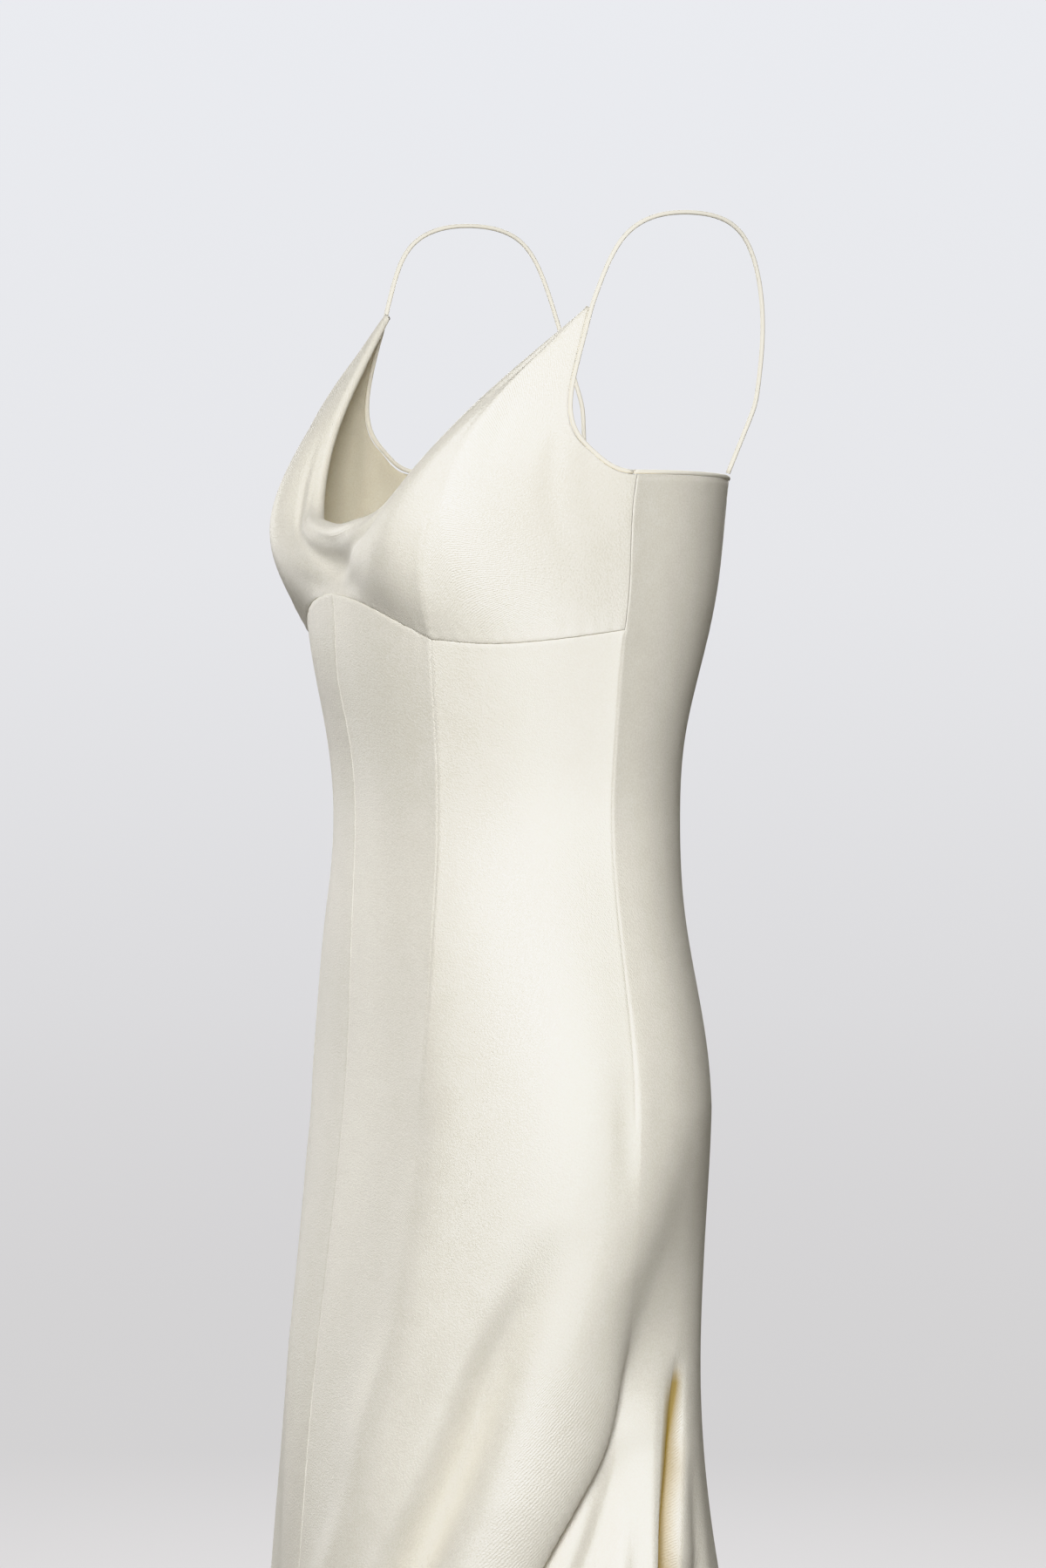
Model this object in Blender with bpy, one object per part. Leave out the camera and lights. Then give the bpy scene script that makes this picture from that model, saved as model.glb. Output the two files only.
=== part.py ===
"""Floor-length slip dress in silk satin, worn open and hollow.

A cowl-necked bodice front with two cups, a left and a right panel that each run from the centre
front seam round to the centre back seam, two rouleau straps that also bind the armholes, and a
rouleau that binds the top of the back.

Metres, +Z up. The wearer faces -Y and +X is the wearer's left. The origin is midway between the
tops of the two straps, where the shoulders carry the dress.
"""

from math import cos, pi, radians, sin
from typing import NamedTuple

import bmesh
import bpy
import numpy as np
from mathutils import Vector

WALL = 0.0015                # thickness of the cloth wall
SEAM_GAP = 0.0003            # air between two pieces at a seam
ROULEAU_RADIUS = 0.0014      # the straps and bindings are narrow round tubes of cloth
HEM_Z = -1.415               # level of the hem
KNEE_Z = -0.835              # level where the skirt folds have their middle size
UNDERARM_Z = -0.158          # top of the side seam
BACK_TOP_Z = -0.165          # top edge at the centre back
SQUARENESS = 2.2             # exponent of the rounded body sections; 2 would be an ellipse
SIDE_BLEND = 0.86            # share of the way to the side seam where the cup meets the side
EDGE_GAP = 0.0004            # air between a rouleau and the edge it binds

QUARTER_COLUMNS = 14         # cells in each quarter of the way round
PANEL_ROWS = 24              # cells from the underbust seam to the hem
BODICE_ROWS = 8              # cells from the underbust seam to the top edge, and up the side seam
ROLL_ROWS = 3                # cells round the rolled neck edge
FACING_ROWS = 2              # cells of the facing that hangs from the roll
STRAP_COLUMN = 8             # the strap stands on this column, counted from centre front

ROLL_AT_FRONT = 0.0055       # radius of the cowl's rolled edge at centre front
ROLL_AT_STRAP = 0.0022       # and where the roll runs out at the strap
FACING_AT_FRONT = 0.016      # depth of the facing turned inside the cowl
FACING_AT_STRAP = 0.0008

SATIN = (0.89, 0.85, 0.77)
ROULEAU = (0.87, 0.82, 0.72)
SATIN_ROUGHNESS = 0.42
SHARP_ANGLE = 50.0           # degrees over which an edge of the cloth is shaded sharp
BINDING_INSET = 0.0012       # radians that the back's binding stops short of each side seam
STEP = 0.004                 # small step for measuring slopes of a surface
COLUMN_STEP = 0.1            # and the same along a row of columns


class Level(NamedTuple):
    """Size of the body and skirt at one height."""

    z: float
    centre_y: float
    half_width: float
    front_depth: float
    back_depth: float
    turn: float              # degrees that the section is turned to the wearer's left


LEVELS = (
    Level(0.000, 0.000, 0.118, 0.080, 0.080, 5.0),
    Level(-0.057, -0.010, 0.126, 0.090, 0.098, 5.0),
    Level(-0.155, -0.040, 0.134, 0.116, 0.120, 0.0),
    Level(-0.230, -0.040, 0.130, 0.124, 0.112, -1.5),
    Level(-0.263, -0.040, 0.127, 0.122, 0.105, -2.5),
    Level(-0.315, -0.038, 0.122, 0.117, 0.090, -4.0),
    Level(-0.363, -0.037, 0.121, 0.115, 0.085, -5.0),
    Level(-0.431, -0.038, 0.135, 0.116, 0.086, -5.0),
    Level(-0.512, -0.037, 0.154, 0.120, 0.096, -5.0),
    Level(-0.593, -0.038, 0.158, 0.127, 0.098, -5.0),
    Level(-0.701, -0.040, 0.152, 0.139, 0.096, -5.0),
    Level(KNEE_Z, -0.041, 0.156, 0.152, 0.112, -5.0),
    Level(-1.095, -0.036, 0.190, 0.178, 0.178, -4.0),
    Level(HEM_Z, -0.030, 0.236, 0.208, 0.246, -3.0),
)


class Station(NamedTuple):
    """One column of the bodice front, from the underbust seam over the cup to the top edge."""

    column: float            # counted from centre front; the side seam is QUARTER_COLUMNS
    full_x: float            # the fullest point of the column
    full_y: float
    full_z: float
    edge_x: float            # its point on the top edge
    edge_y: float
    edge_z: float


NECK_STATIONS = (
    Station(0, 0.000, -0.160, -0.209, 0.000, -0.172, -0.192),
    Station(2, 0.028, -0.171, -0.207, 0.027, -0.167, -0.181),
    Station(4, 0.053, -0.179, -0.199, 0.049, -0.160, -0.158),
    Station(6, 0.079, -0.175, -0.190, 0.079, -0.130, -0.120),
    Station(STRAP_COLUMN, 0.101, -0.151, -0.187, 0.110, -0.071, -0.057),
)
ARMHOLE_STATIONS = (
    NECK_STATIONS[-1],
    Station(10, 0.117, -0.117, -0.187, 0.1185, -0.084, -0.113),
    Station(12, 0.128, -0.079, -0.193, 0.1265, -0.071, -0.1425),
    Station(QUARTER_COLUMNS, 0.132, -0.040, -0.201, 0.134, -0.040, UNDERARM_Z),
)


class SeamPoint(NamedTuple):
    """Height of the underbust seam at one angle from centre front."""

    angle: float
    z: float


UNDERBUST = (
    SeamPoint(0.0, -0.230),
    SeamPoint(11.0, -0.236),
    SeamPoint(24.0, -0.249),
    SeamPoint(38.0, -0.259),
    SeamPoint(48.0, -0.261),
    SeamPoint(64.0, -0.2595),
    SeamPoint(90.0, -0.2505),
)


class Fold(NamedTuple):
    """A trough that runs down the skirt. Angles are degrees from centre front to the left."""

    start_z: float
    start_angle: float
    knee_angle: float
    hem_angle: float
    knee_depth: float
    hem_depth: float
    front_spread: float      # half-width in degrees on the side towards centre front
    back_spread: float       # and on the other side


FOLDS = (
    Fold(-0.515, 45.0, 19.0, 10.0, 0.004, 0.012, 9.0, 12.0),
    Fold(-0.595, 67.0, 32.0, 28.0, 0.007, 0.024, 9.0, 11.0),
    Fold(-0.555, 92.0, 60.0, 51.0, 0.008, 0.027, 9.0, 12.0),
    Fold(-0.655, 106.0, 80.0, 76.0, 0.009, 0.022, 6.0, 12.0),
    Fold(-0.705, 112.0, 108.0, 108.0, 0.034, 0.048, 7.0, 10.0),
    Fold(-0.735, 146.0, 146.0, 143.0, 0.010, 0.036, 10.0, 12.0),
    Fold(-0.775, 178.0, 178.0, 176.0, 0.012, 0.034, 11.0, 10.0),
    Fold(-0.755, -150.0, -147.0, -146.0, 0.012, 0.038, 11.0, 11.0),
    Fold(-0.655, -118.0, -112.0, -110.0, 0.016, 0.034, 10.0, 9.0),
    Fold(-0.595, -92.0, -78.0, -76.0, 0.009, 0.025, 11.0, 9.0),
    Fold(-0.635, -62.0, -44.0, -40.0, 0.008, 0.026, 11.0, 9.0),
    Fold(-0.695, -30.0, -18.0, -13.0, 0.004, 0.014, 10.0, 9.0),
)


class StrapPoint(NamedTuple):
    """A point of the left strap above the bodice, from the front to the back."""

    x: float
    y: float
    z: float


STRAP = (
    StrapPoint(0.1125, -0.0615, -0.035),
    StrapPoint(0.1150, -0.0490, -0.015),
    StrapPoint(0.1160, -0.0270, -0.003),
    StrapPoint(0.1160, 0.0000, 0.000),
    StrapPoint(0.1155, 0.0240, -0.003),
    StrapPoint(0.1140, 0.0430, -0.015),
    StrapPoint(0.1110, 0.0560, -0.042),
    StrapPoint(0.1060, 0.0630, -0.077),
    StrapPoint(0.0980, 0.0660, -0.115),
)
STRAP_BACK_ANGLE = 138.0     # degrees from centre front where the strap joins the back's top edge


class Curve:
    """Natural cubic curve through a short table of values."""

    def __init__(self, at, values):
        self.at = np.asarray(at, float)
        self.values = np.asarray(values, float).reshape(len(self.at), -1)
        self.bends = self._bends()

    def _bends(self):
        """Second derivatives at the rows of the table, with none at its ends."""
        count = len(self.at)
        steps = np.diff(self.at)
        slopes = np.diff(self.values, axis=0) / steps[:, None]
        matrix = np.eye(count)
        right = np.zeros_like(self.values)
        for row in range(1, count - 1):
            matrix[row, row - 1] = steps[row - 1]
            matrix[row, row] = 2 * (steps[row - 1] + steps[row])
            matrix[row, row + 1] = steps[row]
            right[row] = 6 * (slopes[row] - slopes[row - 1])
        return np.linalg.solve(matrix, right)

    def __call__(self, place):
        """Value of the curve at one place, held at the ends of the table."""
        place = min(max(place, self.at[0]), self.at[-1])
        right = int(np.clip(np.searchsorted(self.at, place), 1, len(self.at) - 1))
        left = right - 1
        step = self.at[right] - self.at[left]
        after = (place - self.at[left]) / step
        before = 1 - after
        bow = (before**3 - before) * self.bends[left] + (after**3 - after) * self.bends[right]
        return before * self.values[left] + after * self.values[right] + bow * step * step / 6


LEVEL_CURVE = Curve([-level.z for level in LEVELS], [level[1:] for level in LEVELS])
UNDERBUST_CURVE = Curve([point.angle for point in UNDERBUST], [point.z for point in UNDERBUST])


def turned(x, y, z):
    """The point after the dress is turned about the vertical by its level's small angle."""
    turn = radians(LEVEL_CURVE(-z)[-1])
    return Vector((x * cos(turn) - y * sin(turn), x * sin(turn) + y * cos(turn), z))


def eased(share):
    """Share from 0 to 1 with a soft start and end."""
    share = min(max(share, 0.0), 1.0)
    return share * share * (3 - 2 * share)


def fold_depth(angle, z):
    """How far the troughs draw the skirt in at one place."""
    depth = 0.0
    for fold in FOLDS:
        if z > fold.start_z:
            continue
        if z > KNEE_Z:
            share = (fold.start_z - z) / (fold.start_z - KNEE_Z)
            middle = fold.start_angle + (fold.knee_angle - fold.start_angle) * share
            deep = fold.knee_depth * eased(share)
        else:
            share = (KNEE_Z - z) / (KNEE_Z - HEM_Z)
            middle = fold.knee_angle + (fold.hem_angle - fold.knee_angle) * eased(share)
            deep = fold.knee_depth + (fold.hem_depth - fold.knee_depth) * share
        away = (np.degrees(angle) - middle + 180) % 360 - 180
        spread = fold.front_spread if away < 0 else fold.back_spread
        depth += deep * np.exp(-(away / spread) ** 2)
    return depth


def body(angle, z):
    """Outer surface of the body and skirt at an angle from centre front, towards the left."""
    centre_y, half_width, front_depth, back_depth, _ = LEVEL_CURVE(-z)
    depth = front_depth if cos(angle) > 0 else back_depth
    reach = abs(sin(angle) / half_width) ** SQUARENESS + abs(cos(angle) / depth) ** SQUARENESS
    reach = reach ** (-1 / SQUARENESS) - fold_depth(angle, z)
    return turned(reach * sin(angle), centre_y - reach * cos(angle), z)


def underbust_z(angle):
    """Height of the underbust seam, carried on level round the back."""
    return float(UNDERBUST_CURVE(min(abs(np.degrees(angle)), UNDERBUST[-1].angle))[0])


def back_top_z(angle):
    """Height of the back's top edge, from the side seam to centre back."""
    share = (abs(angle) - pi / 2) / (pi / 2)
    return UNDERARM_Z + (BACK_TOP_Z - UNDERARM_Z) * eased(share)


def panel_place(along, down):
    """Angle and height on a half panel: along runs from centre front (0) to centre back (1).

    Down runs from 0 at the underbust seam to 1 at the hem. Above the seam's level, where down is
    negative, there is only the back, which reaches its top edge at -1.
    """
    angle = along * pi
    seam_z = underbust_z(angle) - SEAM_GAP / 2
    if down >= 0:
        return angle, seam_z + (HEM_Z - seam_z) * down
    return angle, seam_z + (back_top_z(angle) - seam_z) * -down


def mirrored(stations):
    """The stations of the left side and their mirror images, as rows of plain numbers."""
    rows = []
    for row in stations:
        rows.append(tuple(row))
        if row.column > 0:
            rows.append((-row.column, -row.full_x, *row[2:4], -row.edge_x, *row[5:7]))
    return np.array(sorted(rows))


def edge_curve(rows):
    """Curve of the top edge through some rows of stations."""
    return Curve(rows[:, 0], rows[:, 4:7])


NECK_ROWS = mirrored(NECK_STATIONS)
ARMHOLE_ROWS = mirrored(ARMHOLE_STATIONS)
ALL_ROWS = mirrored(NECK_STATIONS + ARMHOLE_STATIONS[1:])
FULL_CURVE = Curve(ALL_ROWS[:, 0], ALL_ROWS[:, 1:4])
NECK_EDGE = edge_curve(NECK_ROWS)
LEFT_EDGE = edge_curve(ARMHOLE_ROWS[ARMHOLE_ROWS[:, 0] > 0])
RIGHT_EDGE = edge_curve(ARMHOLE_ROWS[ARMHOLE_ROWS[:, 0] < 0])


def top_edge(column):
    """Point of the bodice's top edge: the neckline between the straps, or an armhole."""
    if abs(column) <= STRAP_COLUMN:
        return NECK_EDGE(column)
    return (LEFT_EDGE if column > 0 else RIGHT_EDGE)(column)


def bodice_point(column, up):
    """The bodice front's outer surface: up runs from 0 at the underbust seam to 1 on the top edge.

    Columns are counted from centre front to the left side seam, and are negative on the right.
    """
    angle = column / QUARTER_COLUMNS * pi / 2
    seam_z = underbust_z(angle) + SEAM_GAP / 2
    points = [body(angle, seam_z)]
    for x, y, z in (FULL_CURVE(column), top_edge(column)):
        points.append(turned(x, y, z))
    lower = (points[1] - points[0]).length
    upper = (points[2] - points[1]).length
    point = Vector(Curve((0, lower / (lower + upper), 1), points)(up))
    at_side = eased((abs(angle) / (pi / 2) - SIDE_BLEND) / (1 - SIDE_BLEND))
    on_side = body(angle, seam_z + (UNDERARM_Z - seam_z) * up)
    return point.lerp(on_side, at_side)


def bodice_frame(column, up):
    """Unit tangent to the left, and outward unit normal, of the bodice surface."""
    ahead = bodice_point(min(column + COLUMN_STEP, QUARTER_COLUMNS), up)
    behind = bodice_point(max(column - COLUMN_STEP, -QUARTER_COLUMNS), up)
    above = bodice_point(column, min(up + STEP, 1))
    below = bodice_point(column, max(up - STEP, 0))
    tangent = (ahead - behind).normalized()
    return tangent, tangent.cross(above - below).normalized()


def body_frame(angle, z):
    """Unit tangent to the left, and outward unit normal, of the body and skirt."""
    tangent = (body(angle + STEP, z) - body(angle - STEP, z)).normalized()
    upward = body(angle, z + STEP) - body(angle, z - STEP)
    return tangent, tangent.cross(upward).normalized()


def level_normal(normal):
    """The normal with its upward part taken out, for the edges along the underbust seam."""
    return Vector((normal.x, normal.y, 0)).normalized()


def bodice_corner(column, row, depth):
    """A corner of the bodice front's wall: depth is 0 outside and WALL inside."""
    up = min(row / BODICE_ROWS, 1)
    tangent, normal = bodice_frame(column, up)
    point = bodice_point(column, up)
    if abs(column) == QUARTER_COLUMNS:
        tangent, normal = body_frame(column / QUARTER_COLUMNS * pi / 2, point.z)
        point -= tangent * SEAM_GAP / 2 * (1 if column > 0 else -1)
    if row == 0:
        normal = level_normal(normal)
    if row <= BODICE_ROWS:
        return point - normal * depth
    return facing_corner(column, row - BODICE_ROWS, depth)


def facing_corner(column, row, depth):
    """A corner of the wall where the neck edge rolls over and hangs inside as a facing."""
    share = 1 - (abs(column) / STRAP_COLUMN) ** 2
    radius = ROLL_AT_STRAP + (ROLL_AT_FRONT - ROLL_AT_STRAP) * share
    length = FACING_AT_STRAP + (FACING_AT_FRONT - FACING_AT_STRAP) * share
    _, normal = bodice_frame(column, 1)
    ahead = NECK_EDGE(min(column + COLUMN_STEP, STRAP_COLUMN))
    behind = NECK_EDGE(max(column - COLUMN_STEP, -STRAP_COLUMN))
    inward = normal.cross(turned(*ahead) - turned(*behind)).normalized()
    turn = pi * min(row / ROLL_ROWS, 1)
    hang = length * max(row - ROLL_ROWS, 0) / FACING_ROWS
    centre = bodice_point(column, 1) - normal * radius - inward * hang
    return centre + (normal * cos(turn) + inward * sin(turn)) * (radius - depth)


def panel_corner(side, column, row, depth):
    """A corner of a half panel's wall; side is 1 for the left panel and -1 for the right one."""
    along = column / (2 * QUARTER_COLUMNS)
    down = row / PANEL_ROWS if row >= 0 else row / BODICE_ROWS
    angle, z = panel_place(along, down)
    tangent, normal = body_frame(side * angle, z)
    point = body(side * angle, z)
    if row == 0 and column <= QUARTER_COLUMNS:
        normal = level_normal(normal)
    if column == 0 or (row < 0 and column == QUARTER_COLUMNS):
        point += tangent * side * SEAM_GAP / 2
    if column == 2 * QUARTER_COLUMNS:
        point -= tangent * side * SEAM_GAP / 2
    return point - normal * depth


def satin(name, colour):
    """Material of one piece."""
    material = bpy.data.materials.new(name)
    material.use_nodes = True
    shader = material.node_tree.nodes["Principled BSDF"]
    shader.inputs["Base Color"].default_value = (*colour, 1)
    shader.inputs["Roughness"].default_value = SATIN_ROUGHNESS
    shader.inputs["Metallic"].default_value = 0
    return material


def add_object(name, data, colour):
    """Link one named object with its own material."""
    data.materials.append(satin(name + "_cloth", colour))
    piece = bpy.data.objects.new(name, data)
    bpy.context.scene.collection.objects.link(piece)
    return piece


def cloth_wall(name, columns, rows, corner, is_cloth):
    """A closed cloth wall on a grid of cells.

    Args: columns and rows are the first and last grid lines each way, corner gives a point of the
    wall from a column, a row and a depth, and is_cloth says whether a cell is part of the piece.
    """
    width = columns[1] - columns[0]
    height = rows[1] - rows[0]
    mesh = bmesh.new()
    bmesh.ops.create_grid(mesh, x_segments=width, y_segments=height, size=0.5)
    for vert in mesh.verts:
        vert.co.x = round(columns[0] + (vert.co.x + 0.5) * width)
        vert.co.y = round(rows[0] + (vert.co.y + 0.5) * height)
    spare = []
    for face in mesh.faces:
        middle = face.calc_center_median()
        if not is_cloth(middle.x, middle.y):
            spare.append(face)
    bmesh.ops.delete(mesh, geom=spare, context="FACES")
    outside = list(mesh.verts)
    grown = bmesh.ops.extrude_face_region(mesh, geom=mesh.faces[:], use_keep_orig=True)["geom"]
    inside = [item for item in grown if isinstance(item, bmesh.types.BMVert)]
    for verts, depth in ((outside, 0), (inside, WALL)):
        for vert in verts:
            vert.co = corner(round(vert.co.x), round(vert.co.y), depth)
    bmesh.ops.triangulate(mesh, faces=mesh.faces[:])
    bmesh.ops.recalc_face_normals(mesh, faces=mesh.faces[:])
    data = bpy.data.meshes.new(name)
    mesh.to_mesh(data)
    mesh.free()
    data.shade_smooth()
    data.set_sharp_from_angle(angle=radians(SHARP_ANGLE))
    return add_object(name, data, SATIN)


def rouleau(name, points):
    """A narrow round tube of cloth along a line of points."""
    data = bpy.data.curves.new(name, "CURVE")
    data.dimensions = "3D"
    data.bevel_depth = ROULEAU_RADIUS
    data.bevel_resolution = 1
    data.use_fill_caps = True
    spline = data.splines.new("POLY")
    spline.points.add(len(points) - 1)
    for slot, point in zip(spline.points, points):
        slot.co = (*point, 1)
    return add_object(name, data, ROULEAU)


def armhole_points(side):
    """Centre line of the rouleau along the armhole, from the side seam up to the strap."""
    points = []
    for column in range(QUARTER_COLUMNS, STRAP_COLUMN - 1, -1):
        place = side * min(column, QUARTER_COLUMNS - COLUMN_STEP)
        edge = bodice_point(place, 1)
        _, normal = bodice_frame(place, 1)
        ahead = top_edge(side * min(column + 2 * COLUMN_STEP, QUARTER_COLUMNS))
        behind = top_edge(side * max(column - 2 * COLUMN_STEP, STRAP_COLUMN))
        out = normal.cross(turned(*ahead) - turned(*behind)).normalized()
        points.append(edge - normal * WALL / 2 + out * side * (ROULEAU_RADIUS + EDGE_GAP))
    return points


def strap_points(side):
    """Centre line of a strap: along the armhole, over the shoulder and down to the back."""
    points = armhole_points(side)
    shoulder = Curve(range(len(STRAP)), STRAP)
    for place in range(2 * len(STRAP) - 1):
        x, y, z = shoulder(place / 2)
        points.append(turned(side * x, y, z))
    angle = side * radians(STRAP_BACK_ANGLE)
    _, normal = body_frame(angle, back_top_z(angle))
    back = body(angle, back_top_z(angle)) - normal * WALL / 2
    points.append(back + Vector((0, 0, 3 * ROULEAU_RADIUS + 2 * EDGE_GAP)))
    return points


def back_points():
    """Centre line of the rouleau along the back's top edge, from side seam to side seam."""
    points = []
    first = pi / 2 + BINDING_INSET
    last = 3 * pi / 2 - BINDING_INSET
    for angle in np.linspace(first, last, 2 * QUARTER_COLUMNS + 1):
        z = back_top_z(angle if angle <= pi else 2 * pi - angle)
        _, normal = body_frame(angle, z)
        middle = body(angle, z) - normal * WALL / 2
        points.append(middle + Vector((0, 0, ROULEAU_RADIUS + EDGE_GAP)))
    return points


def build():
    """Make the pieces of the dress."""
    for item in list(bpy.data.objects):
        bpy.data.objects.remove(item, do_unlink=True)
    neck = (-QUARTER_COLUMNS, QUARTER_COLUMNS)
    top = BODICE_ROWS + ROLL_ROWS + FACING_ROWS
    cloth_wall("bodice_front", neck, (0, top), bodice_corner,
               lambda column, row: row < BODICE_ROWS or abs(column) < STRAP_COLUMN)
    for side, word in ((1, "left"), (-1, "right")):
        cloth_wall("panel_" + word, (0, 2 * QUARTER_COLUMNS), (-BODICE_ROWS, PANEL_ROWS),
                   lambda column, row, depth, side=side: panel_corner(side, column, row, depth),
                   lambda column, row: row > 0 or column > QUARTER_COLUMNS)
        rouleau("strap_" + word, strap_points(side))
    rouleau("back_binding", back_points())


build()
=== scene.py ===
"""Looks of a floor-length slip dress in ivory crepe satin, worn open and hollow.

A cowl-necked bodice front with two darted cups, a left and a right panel that each run from the
centre front seam round to the centre back seam, two rouleau straps that also bind the armholes,
and a rouleau that binds the top of the back. Metres, +Z up. The wearer faces -Y, and angles are
counted from centre front towards the wearer's left.
"""

import logging
import math
from dataclasses import dataclass, field
from enum import Enum
from typing import Callable, NamedTuple, Sequence

import bmesh
import bpy
import numpy as np
from mathutils import Matrix, Vector


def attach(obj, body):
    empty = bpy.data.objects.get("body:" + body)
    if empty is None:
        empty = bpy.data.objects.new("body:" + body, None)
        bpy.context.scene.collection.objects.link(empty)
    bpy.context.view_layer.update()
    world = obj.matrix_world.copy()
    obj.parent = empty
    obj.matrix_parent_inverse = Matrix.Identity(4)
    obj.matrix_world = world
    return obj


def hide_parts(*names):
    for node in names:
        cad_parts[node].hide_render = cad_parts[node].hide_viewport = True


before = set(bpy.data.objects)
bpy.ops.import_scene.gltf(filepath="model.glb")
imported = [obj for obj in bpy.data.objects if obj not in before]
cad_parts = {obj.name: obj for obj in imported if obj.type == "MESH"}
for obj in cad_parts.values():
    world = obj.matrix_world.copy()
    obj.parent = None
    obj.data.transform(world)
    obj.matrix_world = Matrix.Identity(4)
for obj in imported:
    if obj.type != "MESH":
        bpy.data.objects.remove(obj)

LOG = logging.getLogger("slip_dress")
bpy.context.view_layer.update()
BODY = "root"
MM = 0.001

SEAM_GAP = 0.1 * MM          # air between two pieces at a seam
CLOTH = 0.6 * MM             # thickness of the satin
ROULEAU_RADIUS = 1.4 * MM    # the straps and bindings are narrow round tubes of cloth
HEM_Z = -1.415               # level of the hem
KNEE_Z = -0.835              # level of the knees
UNDERARM_Z = -0.158          # level of the underarm
BACK_TOP_Z = -0.165          # level of the back's top edge at centre back
SIDE_ANGLE = math.pi / 2     # angle of the side seam from centre front
SIDE_COLUMN = 14.0           # bodice columns from centre front to the side seam
STRAP_COLUMN = 8.0           # column on which the strap stands

Array = np.ndarray


class Side(Enum):
    """Which side of the wearer a piece is on."""

    LEFT = 1
    RIGHT = -1


class Curve:
    """Natural cubic curve through a short table of values."""

    def __init__(self, at: Sequence[float], values: Sequence) -> None:
        """Fit the curve.

        Args:
            at: Places of the table's rows, rising.
            values: One number or one row of numbers for each place.
        """
        self.at = np.asarray(at, float)
        self.values = np.asarray(values, float).reshape(len(self.at), -1)
        count = len(self.at)
        steps = np.diff(self.at)
        slopes = np.diff(self.values, axis=0) / steps[:, None]
        matrix = np.eye(count)
        right = np.zeros_like(self.values)
        for row in range(1, count - 1):
            matrix[row, row - 1 : row + 2] = steps[row - 1], 2 * (steps[row - 1] + steps[row]), steps[row]
            right[row] = 6 * (slopes[row] - slopes[row - 1])
        self.bends = np.linalg.solve(matrix, right)

    def __call__(self, place: Array) -> Array:
        """Values at some places, held at the ends of the table.

        Args:
            place: Places along the curve.

        Returns:
            The places' values, with one more axis for the table's columns.
        """
        place = np.clip(place, self.at[0], self.at[-1])
        right = np.clip(np.searchsorted(self.at, place), 1, len(self.at) - 1)
        left = right - 1
        step = (self.at[right] - self.at[left])[..., None]
        after = (place - self.at[left])[..., None] / step
        before = 1 - after
        bow = (before**3 - before) * self.bends[left] + (after**3 - after) * self.bends[right]
        return before * self.values[left] + after * self.values[right] + bow * step**2 / 6


def eased(share: Array) -> Array:
    """Share from 0 to 1 with a soft start and end."""
    share = np.clip(share, 0, 1)
    return share * share * (3 - 2 * share)


def bump(away: Array, width: float) -> Array:
    """Soft hill of height 1 that is about width wide on each side of its middle."""
    return np.exp(-((away / width) ** 2))


def unit(vectors: Array) -> Array:
    """The vectors made one metre long."""
    return vectors / np.maximum(np.linalg.norm(vectors, axis=-1, keepdims=True), 1e-12)


def linked(name: str, mesh: bmesh.types.BMesh) -> bpy.types.Object:
    """A finished mesh as an object in the scene.

    Args:
        name: Name of the object.
        mesh: The mesh, which is used up.

    Returns:
        The object.
    """
    data = bpy.data.meshes.new(name)
    mesh.to_mesh(data)
    mesh.free()
    piece = bpy.data.objects.new(name, data)
    bpy.context.scene.collection.objects.link(piece)
    return piece


class Level(NamedTuple):
    """Size of the body and skirt at one height."""

    z: float
    centre_y: float
    half_width: float
    front_depth: float
    back_depth: float
    turn: float              # degrees that the section is turned to the wearer's left


class Stop(NamedTuple):
    """One stop along a fold: height, angle in degrees, and depth in millimetres."""

    z: float
    angle: float
    depth: float


@dataclass(frozen=True)
class Fold:
    """A soft trough that runs down the skirt, or a ridge where its depth is below 0.

    Near and far are its half-widths in degrees on the side towards centre front and on the other.
    Lean is how many degrees the near side slides over the trough, to make an overlap. A higher
    power makes the walls steeper, and flare is how much wider the trough is at the hem. A trough
    with painted light is a narrow gap whose cloth gets a painted shade and a painted glow there.
    """

    near: float
    far: float
    stops: tuple[Stop, ...]
    lean: float = 0.0
    lean_from: float = -0.60
    power: float = 2.0
    flare: float = 1.0
    has_painted_light: bool = False

    def track(self) -> Curve:
        """Angle and depth along the fold, by depth below the origin."""
        return Curve([-stop.z for stop in self.stops], [(stop.angle, stop.depth) for stop in self.stops])


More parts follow.
